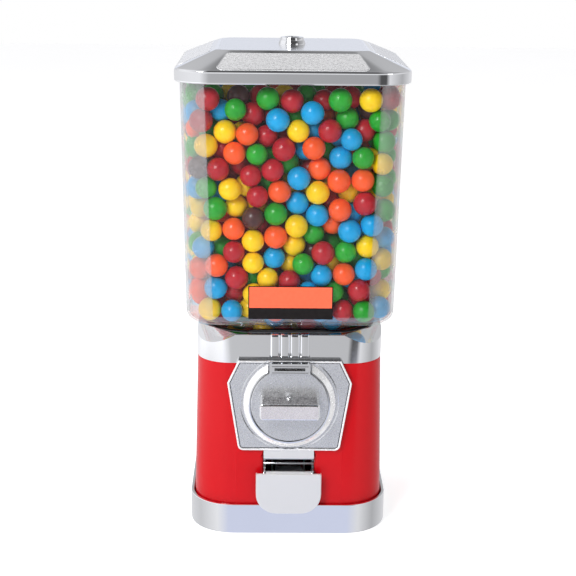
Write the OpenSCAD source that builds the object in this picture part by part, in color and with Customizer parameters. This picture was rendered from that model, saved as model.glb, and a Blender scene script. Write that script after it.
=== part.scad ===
// Coin-operated candy dispenser: square clear globe on a tapered body.
// Millimetres, +Z up, front towards -Y. Origin: centre of the base, on the floor.

/* [Base and body] */
// Width of the base tray
base_w = 179.4; // [179:0.2:182]
// Height of the base tray
base_h = 28; // [27:0.5:28]
// Corner radius of the base tray
base_r = 40; // [39:0.5:40]
// Half width of the body where it leaves the base tray
body_low = 86; // [85.6:0.1:86.2]
// Half width of the body and collar where they meet
body_mid = 82.9; // [82.6:0.1:83.2]
// Height of the joint between body and collar
body_top = 160; // [159.5:0.5:160.5]
// Half width of the collar at its top
collar_half = 81.8; // [81.5:0.1:82]
// Height of the collar's top
collar_top = 187; // [187:0.5:188]
// Corner radius of the body where it leaves the base tray
body_low_r = 37; // [36:0.5:37.5]
// Corner radius of body and collar where they meet
body_mid_r = 31; // [30:0.5:32]
// Corner radius of the collar at its top
collar_r = 29.5; // [29:0.5:30.5]

/* [Globe] */
// Half width of the globe at its top
globe_top_half = 96.4; // [96:0.1:96.6]
// Half width of the globe just above its rounded bottom edge
globe_low_half = 92.4; // [92:0.1:92.8]
// Radius of the globe's bottom edge
globe_edge_r = 9; // [8:0.5:10]
// Height of the globe's underside
globe_floor = 196; // [195.5:0.5:196.5]
// Corner radius of the globe
globe_r = 27.5; // [27:0.5:29]
// Wall of the globe
globe_wall = 2.2; // [2:0.1:2.5]

/* [Lid] */
// Half width of the lid's skirt
lid_half = 100.8; // [100:0.2:102]
// Height of the skirt's lower edge
lid_low = 408; // [406:0.5:409]
// Height of the skirt
skirt_h = 11; // [10.5:0.5:12]
// Half width of the flat top
roof_half = 66; // [62:1:70]
// Height of the flat top
roof_top = 433.3; // [433:0.1:434]

/* [Coin mechanism] */
// Height of the dial's axis
dial_z = 125.3; // [125.3:0.1:125.6]
// Radius of the dial's face
dial_r = 34.3; // [33.5:0.1:34.5]
// Length of the grip bar
grip_w = 53; // [48:1:56]
// Height of the grip bar
grip_h = 14.6; // [13:0.2:16]
// How far the grip bar stands out from the dial's face
grip_out = 21; // [16:1:24]
// Diameter of the coin
coin_d = 21; // [19:0.5:21]

/* [Candy wheel] */
// Number of candy pockets
pockets = 6; // [5:1:6]
// Radius of a pocket
pocket_r = 12.5; // [11.5:0.1:12.5]
// Distance of the pockets from the rod
pocket_ring = 34; // [33:0.5:35]
// Teeth of the crown gear under the wheel
crown_teeth = 48; // [48]
// Teeth of the drive pinion
pinion_teeth = 8; // [8]

/* [Chute] */
// Width of the flap
flap_w = 59; // [56:1:60]
// Height of the flap's lower edge
flap_low = 21.5; // [20:0.5:23]
// Height of the flap's upper edge
flap_top = 59.6; // [59:0.2:60]
// Width of the chute's mouth
mouth_w = 45.2; // [44:0.2:45.6]

/* [Hidden] */

$fn = 96;
eps = 0.01;
hull_fn = 32;

// Base and body
tray_wall = 3;
tray_floor = 4;
rim_h = 4;
boss_r = 12;
boss_top = 12;
foot_r = 9;
foot_h = 2.5;
foot_at = 66;
stand_bolt_r = 3.25;
stand_bolt_at = 50;
shell_wall = 2.5;
shell_foot = tray_floor;
taper = (body_low - body_mid) / (body_top - base_h);
foot_half = body_low + taper * (base_h - shell_foot);
rod_r = 4;
rod_low = 2;
rod_top = 426;
nut_af = 13;
nut_h = 6.5;
washer_r = 9;
washer_h = 1.6;

// Collar
deck_h = 4;
ledge_z = 185;
ledge_half = 77.6;
ledge_r = 45;
neck_hole_half = 74.6;
neck_hole_r = 43;
corner_cut_at = 91.6;
corner_cut_slope = 35;
rib_count = 4;
rib_w = 7.9;
rib_pitch = 8.76;
rib_out = 3.2;
rib_low = 166.4;

// Globe
gasket_low = ledge_z + 2;
gasket_top = 188.8;
neck_low_half = 75.2;
neck_r = 42;
globe_top = 415;
edge_centre = globe_floor + globe_edge_r;
label_half = 36.8;
label_low = 203.7;
label_top = 233.7;
label_t = 0.35;

// Hopper and candy wheel
well_r = 64;
well_wall = 2.3;
well_low = 129.5;
well_top = 163;
pan_floor_low = 134;
pan_floor_top = 138;
channel_floor = 131.5;
channel_in = 51;
pan_hub_r = 5;
outlet_r = 13;
wheel_low = pan_floor_top + 0.5;
wheel_top = 160.5;
wheel_r = 62.5;
wheel_plate = 4;
crown_base_low = 141;
crown_base_top = 144.5;
crown_in = 52.5;
crown_tip = 134.9;
crown_tooth_in = 53.5;
crown_tooth_out = 60.5;
crown_tooth_t = 2;
pocket_wall = 2;
hub_r = 11;
bush_r = 7;
bush_bore = rod_r + 0.05;
cover_low = 161.3;
cover_t = 2;
cover_r = 15.5;
cover_tab_y = -63.6;
cover_screw_z = 169;

// Coin mechanism, along Y
plate_front = -88.5;
plate_rim_front = -89.7;
plate_rim = 3;
plate_corner = 5;
plate_back = -84.5;
plate_top = 164.5;
plate_top_half = 45.5;
plate_wide_z = 143.8;
plate_wide_half = 55.3;
plate_low = 80.4;
plate_low_half = 45.3;
tongue_low = 72;
ring_in = dial_r + 0.6;
ring_out = 40.8;
dial_front = -94;
dial_back = -90.5;
shaft_r = 4;
shaft_front = -111;
shaft_end = -51.5;
shaft_bush_r = 7;
housing_r = 32;
housing_in = 28.2;
housing_back = -67;
housing_back_wall = 2.5;
housing_screw_ring = 30.1;
housing_screw_angles = [0, 120, 240];
shell_hole_r = 32.5;
carrier_r = 27.5;
carrier_front = -84;
carrier_t = 3.4;
ratchet_front = -79.5;
ratchet_t = 3;
ratchet_teeth = 12;
ratchet_tip = 20;
ratchet_root = 16.5;
pawl_t = 2.6;
pawl_angle = 150;
pawl_ring = 24;
pawl_pin_r = 1.5;
pinion_front = -60;
pinion_back = -54;
pinion_tip_r = 11.3;
pinion_root_r = 6.8;
pinion_tooth_t = 2;
frame_half = 18;
frame_low = 154.3;
frame_top = 165.5;
frame_front = -97;
slit_half = 13.5;
slit_low = 156.2;
slit_h = 3.2;
screw_low_z = 95;
screw_low_x = 38;
screw_high_z = 150;
screw_high_x = 42;

// Chute
tube_in = 13.5;
tube_wall = 2;
tube_low = 94;
ramp_half = 14;
ramp_wall = 1.6;
ramp_back = -19;
ramp_back_z = 96;
ramp_front = -62;
ramp_front_z = 36;
mouth_floor = 28.6;
mouth_wall = 1.7;
mouth_front = -91.6;
mouth_rear = -52;
pin_y = -88;
pin_z = 57.5;
pin_r = 1.5;
ear_r = 4;
flap_front = -95.5;
flap_t = 1.8;
flap_corner = 19;
barrel_r = 2.6;
barrel_half = 20.6;
bar_z = 65.5;
bar_r = 1.3;

// Lid and lock
lid_r = 30;
lid_wall = 2.5;
roof_r = 14;
ledge_w = 6;
lid_rest = globe_top + 0.3;
lock_base_r = 12.2;
lock_top_r = 10.3;
lock_top = 439.5;
lock_stem_r = 9.8;
lock_stem_low = 418;
plug_r = 6;
plug_low = 428.4;

// A square with rounded corners, centred on the origin
module rounded_square(half, r) {
    square([2 * half, 2 * (half - r)], center = true);
    square([2 * (half - r), 2 * half], center = true);
    for (sx = [-1, 1], sy = [-1, 1])
        translate([sx * (half - r), sy * (half - r)])
            circle(r = r);
}

// A slice of a rounded square column
module slab(half, r, z, h = eps) {
    translate([0, 0, z])
        linear_extrude(height = h)
            rounded_square(half, r);
}

// A rounded square frame between an outer and an inner outline
module frame_slab(outer, outer_r, inner, inner_r, low, top) {
    difference() {
        slab(outer, outer_r, low, top - low);
        slab(inner, inner_r, low - 1, top - low + 2);
    }
}

// A cylinder along Y from y0 to y1, on the dial's axis
module axle(r, y0, y1, z = dial_z, x = 0) {
    translate([x, y1, z])
        rotate([90, 0, 0])
            cylinder(r = r, h = y1 - y0);
}

// A box given by its two corners
module box(a, b) {
    translate(a)
        cube(b - a);
}

// The tapered column that body and collar share, grown by g
module column(g, low, top) {
    hull() {
        slab(half_at(low) + g, corner_at(low) + g, low, eps, $fn = hull_fn);
        slab(half_at(top) + g, corner_at(top) + g, top - eps, eps, $fn = hull_fn);
    }
}

// Half width of the column at height z
function half_at(z) = z <= body_top ? body_mid + taper * (body_top - z)
    : body_mid - (body_mid - collar_half) * (z - body_top) / (collar_top - body_top);

// Corner radius of the column at height z
function corner_at(z) = z <= body_top
    ? body_mid_r + (body_low_r - body_mid_r) * (body_top - z) / (body_top - base_h)
    : body_mid_r - (body_mid_r - collar_r) * (z - body_top) / (collar_top - body_top);

// ---- base and body ----

module base_tray() {
    color("gainsboro")
    difference() {
        slab(base_w / 2, base_r, 0, base_h);
        difference() {
            slab(base_w / 2 - tray_wall, base_r - tray_wall, tray_floor, base_h - rim_h - tray_floor);
            cylinder(r = boss_r, h = boss_top);
        }
        slab(foot_half + 0.2, body_low_r + 0.2, base_h - rim_h - 1, rim_h + 2);
        translate([0, 0, rod_low])
            cylinder(r = rod_r, h = boss_top);
        for (sx = [-1, 1], sy = [-1, 1]) {
            translate([sx * foot_at, sy * foot_at, -1])
                cylinder(r = foot_r, h = foot_h + 1);
            translate([sx * stand_bolt_at, sy * stand_bolt_at, -1])
                cylinder(r = stand_bolt_r, h = tray_floor + 2);
        }
    }
}

module rubber_feet() {
    color("dimgray")
    for (sx = [-1, 1], sy = [-1, 1])
        translate([sx * foot_at, sy * foot_at, 0])
            cylinder(r = foot_r, h = foot_h);
}

module centre_rod() {
    color("silver")
    translate([0, 0, rod_low])
        cylinder(r = rod_r, h = rod_top - rod_low);
}

module rod_nut() {
    color("silver")
    translate([0, 0, boss_top])
    difference() {
        union() {
            cylinder(r = washer_r, h = washer_h);
            cylinder(r = nut_af / sqrt(3), h = washer_h + nut_h, $fn = 6);
        }
        translate([0, 0, -1])
            cylinder(r = rod_r, h = washer_h + nut_h + 2);
    }
}

module body_shell() {
    color("red")
    difference() {
        column(0, shell_foot, body_top);
        difference() {
            column(-shell_wall, shell_foot - 1, body_top + 1);
            frame_slab(body_mid - 1, body_mid_r - 1, neck_hole_half, body_mid_r - 8, body_top - 3, body_top);
        }
        axle(shell_hole_r, -base_w, -body_mid / 2);
        box([-mouth_w / 2 - 0.3, -base_w, mouth_floor - 0.3], [mouth_w / 2 + 0.3, -body_mid / 2, plate_low - 2]);
        for (s = [-1, 1]) {
            axle(2.2, -base_w, -body_mid / 2, screw_low_z, s * screw_low_x);
            axle(2.2, -base_w, -body_mid / 2, screw_high_z, s * screw_high_x);
        }
    }
}

// The sloped planes that take the collar's corners off, moved out by g
module corner_cuts(g) {
    for (a = [45:90:315])
        rotate([0, 0, a])
            translate([corner_cut_at, 0, collar_top])
                rotate([0, corner_cut_slope, 0])
                    translate([-20, -60, g])
                        cube([80, 120, 40]);
}

module collar() {
    color("gainsboro")
    union() {
        difference() {
            column(0, body_top, collar_top);
            difference() {
                column(-shell_wall, body_top - 1, collar_top - deck_h);
                corner_cuts(-shell_wall);
            }
            slab(neck_hole_half, neck_hole_r, collar_top - deck_h - 1, deck_h + 2);
            slab(ledge_half, ledge_r, ledge_z, deck_h);
            corner_cuts(0);
        }
        for (i = [0:rib_count - 1])
            translate([(i - (rib_count - 1) / 2) * rib_pitch, -collar_half, 0])
                rib();
    }
}

// One upright rib on the front of the collar
module rib() {
    difference() {
        translate([0, 1 - rib_out, rib_low])
            linear_extrude(height = collar_top + 1 - rib_low) {
                translate([0, 1.5])
                    square([rib_w, rib_out - 1], center = true);
                translate([0, 1.2])
                    square([rib_w - 2.4, rib_out + 0.4], center = true);
                for (s = [-1, 1])
                    translate([s * (rib_w / 2 - 1.2), 0.2])
                        circle(r = 1.2, $fn = 24);
            }
        box([-rib_w, 2, rib_low - 1], [rib_w, 5, collar_top + 2]);
    }
}

// ---- globe ----

// The outside of the globe, moved in by g, from its rounded lower edge to its top
module globe_column(g, top) {
    hull() {
        for (a = [0:22.5:90])
            slab(
                globe_low_half - globe_edge_r + (globe_edge_r - g) * sin(a),
                globe_r - globe_edge_r + (globe_edge_r - g) * sin(a) + 4,
                edge_centre - (globe_edge_r - g) * cos(a),
                eps,
                $fn = hull_fn
            );
        slab(globe_top_half - g, globe_r - g, top, eps, $fn = hull_fn);
    }
}

// The neck under the globe, moved in by g
module globe_neck(g, low, top) {
    hull() {
        slab(neck_low_half - g, neck_r - g, low, eps, $fn = hull_fn);
        slab(globe_low_half - globe_edge_r - g, neck_r - g, top, eps, $fn = hull_fn);
    }
}

module globe() {
    color("lightcyan", 0.4)
    difference() {
        union() {
            globe_column(0, globe_top - eps);
            globe_neck(0, gasket_top, globe_floor + 2);
        }
        globe_column(globe_wall, globe_top + 1);
        globe_neck(globe_wall, gasket_top - 1, globe_floor + globe_wall + 2);
    }
}

module globe_gasket() {
    color("black")
    frame_slab(neck_low_half + 1.4, neck_r + 1.4, neck_low_half - 3, neck_r - 3, gasket_low, gasket_top);
}

module label() {
    color("tomato")
    intersection() {
        difference() {
            globe_column(-label_t, label_top + 20);
            globe_column(0, label_top + 20);
        }
        box([-label_half, -globe_top_half - 5, label_low], [label_half, -globe_low_half + 12, label_top]);
    }
}

// ---- hopper and candy wheel ----

module hopper_pan() {
    color("dimgray")
    difference() {
        union() {
            difference() {
                pan_outside();
                pan_inside();
            }
            box([-7, -69, well_top + 0.5], [7, cover_tab_y, cover_screw_z + 5]);
        }
        axle(1.5, -68.4, -50, cover_screw_z);
    }
}

// Flange, funnel and well of the pan, filled
module pan_outside() {
    slab(ledge_half - 0.3, ledge_r - 0.3, ledge_z, 2);
    hull() {
        slab(neck_hole_half - 0.3, neck_hole_r - 0.3, ledge_z, eps, $fn = hull_fn);
        translate([0, 0, well_top - 2])
            cylinder(r = well_r + well_wall, h = eps, $fn = hull_fn * 2);
    }
    translate([0, 0, well_low])
        cylinder(r = well_r + well_wall, h = well_top - 1.5 - well_low);
}

// What the pan's funnel and wheel well take out of it
module pan_inside() {
    hull() {
        slab(neck_hole_half - 2.4, neck_hole_r - 2.4, ledge_z + 3, eps, $fn = hull_fn);
        translate([0, 0, well_top])
            cylinder(r = well_r + 0.2, h = eps, $fn = hull_fn * 2);
    }
    translate([0, 0, well_low - 1])
        cylinder(r = well_r, h = well_top + 2 - well_low);
}

// The plate under the candy wheel, with the outlet and the gear's channel
module wheel_floor() {
    color("dimgray")
    difference() {
        translate([0, 0, well_low])
            cylinder(r = well_r - 0.05, h = pan_floor_top - well_low);
        difference() {
            translate([0, 0, channel_floor])
                cylinder(r = well_r + 1, h = pan_floor_top + 1 - channel_floor);
            cylinder(r = channel_in, h = pan_floor_top + 2);
        }
        translate([0, 0, well_low - 1])
            cylinder(r = channel_in - 1.4, h = pan_floor_low - well_low + 1);
        translate([0, 0, well_low - 1])
            cylinder(r = pan_hub_r, h = 20);
        translate([0, -pocket_ring, well_low - 1])
            cylinder(r = outlet_r, h = 20);
        box(
            [-pinion_tip_r - 2, -well_r + 2, well_low - 1],
            [pinion_tip_r + 2, -channel_in - 0.5, crown_tip + 1]
        );
    }
}

module outlet_cover() {
    color("silver")
    difference() {
        union() {
            translate([0, -pocket_ring, cover_low])
                cylinder(r = cover_r, h = cover_t);
            box([-7, cover_tab_y, cover_low], [7, -pocket_ring, cover_low + cover_t]);
            box([-7, cover_tab_y, cover_low], [7, cover_tab_y + 1.6, cover_screw_z + 5]);
        }
        axle(1.7, -80, -50, cover_screw_z);
    }
}

module cover_screw() {
    color("silver")
    union() {
        axle(1.5, -68, cover_tab_y + 1.6, cover_screw_z);
        axle(3.2, cover_tab_y + 1.6, cover_tab_y + 3.6, cover_screw_z);
    }
}

module candy_wheel() {
    color("whitesmoke")
    difference() {
        union() {
            translate([0, 0, wheel_top - wheel_plate])
                cylinder(r = wheel_r, h = wheel_plate);
            difference() {
                translate([0, 0, crown_base_low])
                    cylinder(r = wheel_r, h = wheel_top - crown_base_low);
                translate([0, 0, crown_base_low - 1])
                    cylinder(r = crown_in, h = wheel_top);
                translate([0, 0, crown_base_top])
                    cylinder(r = wheel_r - 3, h = wheel_top - crown_base_top - wheel_plate);
            }
            translate([0, 0, wheel_low])
                cylinder(r = hub_r, h = wheel_top - wheel_low);
            for (i = [0:pockets - 1])
                rotate([0, 0, 270 + i * 360 / pockets])
                    translate([pocket_ring, 0, wheel_low])
                        cylinder(r = pocket_r + pocket_wall, h = wheel_top - wheel_low);
            translate([0, 0, crown_tip])
                linear_extrude(height = crown_base_low - crown_tip + 1)
                    for (i = [0:crown_teeth - 1])
                        rotate([0, 0, 270 + (i + 0.5) * 360 / crown_teeth])
                            translate([crown_tooth_in, -crown_tooth_t / 2])
                                square([crown_tooth_out - crown_tooth_in, crown_tooth_t]);
        }
        for (i = [0:pockets - 1])
            rotate([0, 0, 270 + i * 360 / pockets])
                translate([pocket_ring, 0, wheel_low - 1])
                    cylinder(r = pocket_r, h = wheel_top - wheel_low + 2);
        translate([0, 0, wheel_low - 1])
            cylinder(r = bush_r, h = wheel_top - wheel_low + 2);
    }
}

module wheel_bush() {
    color("goldenrod")
    translate([0, 0, wheel_low])
    difference() {
        cylinder(r = bush_r, h = wheel_top - wheel_low + 6);
        translate([0, 0, -1])
            cylinder(r = bush_bore, h = wheel_top - wheel_low + 8);
    }
}

module agitator() {
    color("silver")
    difference() {
        union() {
            translate([0, 0, wheel_top])
                cylinder(r = hub_r, h = 6);
            for (a = [30:120:270])
                rotate([0, 0, a])
                    translate([hub_r - 3, 0, wheel_top + 4.2])
                        rotate([0, 60, 0]) {
                            cylinder(r = 1.5, h = 26, $fn = 24);
                            translate([0, 0, 26])
                                sphere(r = 1.5, $fn = 24);
                        }
        }
        translate([0, 0, wheel_top - 1])
            cylinder(r = bush_r, h = 8);
    }
}

// ---- candy chute ----

module chute_ramp() {
    color("silver")
    difference() {
        union() {
            translate([0, -pocket_ring, tube_low])
                cylinder(r = tube_in + tube_wall, h = pan_floor_low - tube_low);
            ramp_profile(ramp_half + ramp_wall, 0);
        }
        translate([0, -pocket_ring, tube_low + 14])
            cylinder(r = tube_in, h = pan_floor_low - tube_low);
        intersection() {
            translate([0, -pocket_ring, tube_low - 12])
                cylinder(r = tube_in, h = 27);
            ramp_profile(tube_in + 1, ramp_wall, 60);
        }
        ramp_profile(ramp_half - 0.5, ramp_wall);
    }
}

// Side view of the slide, as wide as given, raised by lift; tall sets its height
module ramp_profile(half, lift, tall = 24) {
    past = lift > 0 ? 1 : 0;
    translate([-half, 0, 0])
        rotate([90, 0, 90])
            linear_extrude(height = 2 * half)
                polygon([
                    [ramp_back, ramp_back_z + lift * 1.7],
                    [ramp_front - past, ramp_front_z + lift * 1.7 - past * 1.4],
                    [ramp_front - past, ramp_front_z + tall],
                    [ramp_back, ramp_back_z + tall]
                ]);
}

module chute_throat() {
    half = mouth_w / 2;
    color("silver")
    difference() {
        union() {
            box([-half, mouth_front, mouth_floor], [half, mouth_rear, mouth_floor + mouth_wall]);
            for (s = [-1, 1])
                translate([s * (half - mouth_wall / 2) - mouth_wall / 2, 0, 0])
                    rotate([90, 0, 90])
                        linear_extrude(height = mouth_wall) {
                            polygon([
                                [mouth_front, mouth_floor], [mouth_rear, mouth_floor],
                                [mouth_rear, 70], [-80, 70], [-84, 62], [pin_y - 2, pin_z + 2],
                                [mouth_front, pin_z - 4]
                            ]);
                            translate([pin_y, pin_z])
                                circle(r = ear_r);
                        }
            box([-half, -80, 68.3], [half, -68, 70]);
            axle_x(bar_r, -half, half, -82, bar_z);
        }
        axle_x(pin_r, -half - 1, half + 1, pin_y, pin_z);
    }
}

// A cylinder along X from x0 to x1
module axle_x(r, x0, x1, y, z) {
    translate([x0, y, z])
        rotate([0, 90, 0])
            cylinder(r = r, h = x1 - x0);
}

module flap_pin() {
    color("silver")
    axle_x(pin_r, -mouth_w / 2, mouth_w / 2, pin_y, pin_z);
}

// Front outline of the flap: square top corners and round lower corners
module flap_outline(g = 0) {
    half = flap_w / 2 - g;
    r = flap_corner - g;
    translate([-half, flap_low + g + r])
        square([2 * half, flap_top - flap_low - g - r]);
    translate([-half + r, flap_low + g])
        square([2 * (half - r), r + 1]);
    for (s = [-1, 1])
        translate([s * (half - r), flap_low + g + r])
            circle(r = r);
}

module chute_flap() {
    color("lightgray")
    difference() {
        union() {
            translate([0, flap_front + flap_t, 0])
                rotate([90, 0, 0])
                    linear_extrude(height = flap_t)
                        flap_outline();
            difference() {
                translate([0, flap_front + flap_t + 2.4, 0])
                    rotate([90, 0, 0])
                        linear_extrude(height = 3)
                            flap_outline();
                translate([0, flap_front + flap_t + 4, 0])
                    rotate([90, 0, 0])
                        linear_extrude(height = 4)
                            flap_outline(1.5);
                box([-flap_w, flap_front + flap_t, pin_z - 4], [flap_w, 0, flap_top + 1]);
            }
            axle_x(barrel_r, -barrel_half, barrel_half, pin_y, pin_z);
            box([-barrel_half, flap_front + 1, pin_z - barrel_r], [barrel_half, pin_y, pin_z - 0.6]);
        }
        axle_x(pin_r + 0.06, -barrel_half - 1, barrel_half + 1, pin_y, pin_z);
    }
}

// ---- coin mechanism ----

// Outline of the coin plate, seen from the front, with round lower corners
module plate_outline() {
    lean = atan((plate_wide_half - plate_low_half) / (plate_wide_z - plate_low));
    cx = plate_low_half + plate_corner * (tan(lean) - 1 / cos(lean));
    arc = [
        for (i = [0:5])
            let (a = -90 + (90 - lean) * i / 5)
                [cx + plate_corner * cos(a), plate_low + plate_corner * (1 + sin(a))]
    ];
    polygon(concat(
        arc,
        [[plate_wide_half, plate_wide_z], [plate_top_half, plate_top]],
        [[-plate_top_half, plate_top], [-plate_wide_half, plate_wide_z]],
        [for (i = [5:-1:0]) [-arc[i][0], arc[i][1]]]
    ));
}

// The plate's outline moved in by the width of its raised edge
module plate_field() {
    g = plate_rim;
    polygon([
        [-plate_low_half + g * 0.9, plate_low + g], [plate_low_half - g * 0.9, plate_low + g],
        [plate_wide_half - g * 1.02, plate_wide_z], [plate_top_half - g * 0.8, plate_top - g],
        [-plate_top_half + g * 0.8, plate_top - g], [-plate_wide_half + g * 1.02, plate_wide_z]
    ]);
}

module coin_plate() {
    color("lightgray")
    difference() {
        union() {
            translate([0, -70, 0])
                rotate([90, 0, 0])
                    linear_extrude(height = -70 - plate_rim_front)
                        plate_outline();
            box([-mouth_w / 2, plate_front + 0.5, tongue_low], [mouth_w / 2, -70, plate_low + 1]);
        }
        translate([0, plate_front, 0])
            rotate([90, 0, 0])
                linear_extrude(height = 5)
                    plate_field();
        column(0.05, 40, body_top);
        column(0.05, body_top, collar_top);
        axle(shell_hole_r - 0.5, plate_back, -60);
        axle(shaft_bush_r, -100, -60);
        box([-coin_d / 2 - 0.5, -100, dial_z + 14], [coin_d / 2 + 0.5, -60, dial_z + 29]);
        for (s = [-1, 1]) {
            axle(2, -87, -60, screw_low_z, s * screw_low_x);
            axle(2, -87, -60, screw_high_z, s * screw_high_x);
        }
        housing_screws();
    }
}

module plate_screws() {
    color("silver")
    for (s = [-1, 1], row = [[screw_low_x, screw_low_z], [screw_high_x, screw_high_z]]) {
        inner = -half_at(row[1]) + shell_wall + 0.15;
        union() {
            axle(2, -87, inner, row[1], s * row[0]);
            axle(3.6, inner, inner + 2.4, row[1], s * row[0]);
        }
    }
}

module dial_ring() {
    color("gainsboro")
    difference() {
        translate([0, plate_front, dial_z])
            rotate([90, 0, 0])
                rotate_extrude()
                    polygon([
                        [ring_in, 0], [ring_out, 0], [ring_out, 1.5],
                        [ring_in + 1, plate_front - dial_front], [ring_in, plate_front - dial_front]
                    ]);
        box([-frame_half - 1.2, -100, frame_low], [frame_half + 1.2, -80, frame_top + 5]);
    }
}

module coin_slot_frame() {
    color("gainsboro")
    difference() {
        box([-frame_half, frame_front, frame_low], [frame_half, dial_front - 0.4, frame_top]);
        box([-frame_half + 1.6, frame_front - 1, frame_low + 1.3], [frame_half - 1.6, frame_front + 1.4, frame_top - 1.3]);
        box([-slit_half, frame_front - 1, slit_low], [slit_half, 0, slit_low + slit_h]);
    }
    color("gainsboro")
    box([-frame_half, dial_front - 0.4, dial_z + ring_in + 1.4], [frame_half, plate_rim_front, frame_top]);
}

module dial_knob() {
    color("lightgray")
    difference() {
        union() {
            axle(dial_r, dial_front, dial_back);
            axle(9, dial_back, plate_front - 0.5);
            box(
                [-grip_w / 2, dial_front - grip_out, dial_z - grip_h / 2],
                [grip_w / 2, dial_front + 1, dial_z + grip_h / 2]
            );
        }
        axle(shaft_r, shaft_front, 0);
        box([-coin_d / 2 - 0.5, -120, dial_z + 27], [coin_d / 2 + 0.5, 0, dial_z + dial_r + 1]);
        translate([0, -99.5, dial_z])
            cylinder(r = 2, h = grip_h);
    }
}

module knob_set_screw() {
    color("silver")
    union() {
        translate([0, -99.5, dial_z + shaft_r])
            cylinder(r = 2, h = grip_h / 2 - shaft_r);
        translate([0, -99.5, dial_z + grip_h / 2])
            cylinder(r1 = 3, r2 = 2, h = 1.3);
    }
}

module drive_shaft() {
    color("silver")
    axle(shaft_r, shaft_front, shaft_end);
}

module shaft_bushes() {
    color("goldenrod")
    for (ends = [[plate_front, plate_back], [housing_back - housing_back_wall, housing_back + 0.5]])
        difference() {
            axle(shaft_bush_r, ends[0], ends[1]);
            axle(shaft_r + 0.05, ends[0] - 1, ends[1] + 1);
        }
}

module mech_housing() {
    color("silver")
    difference() {
        axle(housing_r, plate_back, housing_back);
        axle(housing_in, plate_back - 1, housing_back - housing_back_wall);
        axle(shaft_bush_r, -90, -50);
        axle(pawl_pin_r, -90, -50, pawl_z, pawl_x);
        housing_screws();
        translate([0, 0, dial_z])
            rotate([0, 45, 0])
                box([-coin_d / 2 - 1, plate_back - 1, -40], [coin_d / 2 + 1, -80.2, -15]);
    }
}

module housing_screws() {
    color("silver")
    for (a = housing_screw_angles)
        translate([housing_screw_ring * cos(a), 0, housing_screw_ring * sin(a)])
            union() {
                axle(1.25, -87, housing_back);
                axle(1.85, housing_back - 1.6, housing_back);
            }
}

module coin_carrier() {
    color("goldenrod")
    difference() {
        union() {
            axle(carrier_r, carrier_front, carrier_front + carrier_t);
            axle(8, carrier_front, ratchet_front);
        }
        axle(shaft_r, -100, -50);
        axle(coin_d / 2 + 0.3, -100, -50, dial_z + carrier_r - coin_d / 2);
    }
}

module ratchet_wheel() {
    color("silver")
    difference() {
        translate([0, ratchet_front + ratchet_t, dial_z])
            rotate([90, 0, 0])
                linear_extrude(height = ratchet_t) {
                    circle(r = ratchet_root);
                    for (i = [0:ratchet_teeth - 1])
                        rotate(i * 360 / ratchet_teeth)
                            polygon([[0, 0], [ratchet_tip, 0], [ratchet_root * cos(28), ratchet_root * sin(28)]]);
                }
        axle(shaft_r, -100, -50);
    }
}

pawl_x = pawl_ring * cos(pawl_angle);
pawl_z = dial_z + pawl_ring * sin(pawl_angle);

module pawl() {
    color("silver")
    translate([pawl_x, ratchet_front + 0.2, pawl_z])
        rotate([-90, 0, 0])
            difference() {
                linear_extrude(height = pawl_t) {
                    circle(r = 3);
                    rotate(90 - pawl_angle)
                        polygon([[0, -2], [8, -1.6], [12, 3], [11, 5.9], [9.8, 5.9], [8.6, 1.6], [0, 3]]);
                }
                translate([0, 0, -1])
                    cylinder(r = pawl_pin_r + 0.05, h = pawl_t + 2);
            }
}

module pawl_pin() {
    color("silver")
    axle(pawl_pin_r, ratchet_front - 0.3, housing_back, pawl_z, pawl_x);
}

module pawl_spring() {
    steps = 16;
    turns = 2.5;
    coil_r = 2.6;
    wire_r = 0.4;
    color("silver")
    translate([pawl_x, ratchet_front + pawl_t + 1.2, pawl_z])
        rotate([-90, 0, 0])
            for (i = [0:steps * turns - 1])
                hull()
                    for (k = [i, i + 1])
                        rotate([0, 0, k * 360 / steps])
                            translate([coil_r, 0, k * 1.1 / steps])
                                sphere(r = wire_r, $fn = 8);
}

module drive_pinion() {
    color("goldenrod")
    difference() {
        translate([0, pinion_back, dial_z])
            rotate([90, 0, 0])
                linear_extrude(height = pinion_back - pinion_front) {
                    circle(r = pinion_root_r);
                    for (i = [0:pinion_teeth - 1])
                        rotate(90 + i * 360 / pinion_teeth)
                            translate([0, -pinion_tooth_t / 2])
                                square([pinion_tip_r, pinion_tooth_t]);
                }
        axle(shaft_r, -100, -50);
    }
}

module shaft_clip() {
    color("silver")
    difference() {
        axle(6.2, pinion_back, pinion_back + 1.2);
        axle(shaft_r, -100, -50);
        box([-1.5, -60, dial_z - 8], [1.5, -50, dial_z]);
    }
}

// ---- lid and lock ----

module lid() {
    color("gainsboro")
    difference() {
        union() {
            difference() {
                hull() {
                    slab(lid_half, lid_r, lid_low, skirt_h, $fn = hull_fn);
                    slab(roof_half, roof_r, roof_top - eps, eps, $fn = hull_fn);
                }
                hull() {
                    slab(lid_half - lid_wall, lid_r - lid_wall, lid_low - 1, skirt_h - 0.5, $fn = hull_fn);
                    slab(roof_half - 1, roof_r - 1, roof_top - lid_wall, eps, $fn = hull_fn);
                }
            }
            frame_slab(
                lid_half - 1, lid_r - 1, lid_half - lid_wall - ledge_w, lid_r - lid_wall - ledge_w,
                lid_rest, lid_low + skirt_h
            );
        }
        translate([0, 0, lid_low])
            cylinder(r = lock_stem_r, h = 40);
    }
}

module lock_body() {
    color("silver")
    difference() {
        union() {
            translate([0, 0, lock_stem_low])
                cylinder(r = lock_stem_r, h = roof_top - lock_stem_low);
            translate([0, 0, roof_top])
                cylinder(r1 = lock_base_r, r2 = lock_top_r, h = lock_top - roof_top);
        }
        translate([0, 0, lock_stem_low - 1])
            cylinder(r = rod_r + 0.35, h = 20);
        translate([0, 0, plug_low - 0.4])
            cylinder(r = plug_r + 0.08, h = 20);
    }
}

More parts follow.
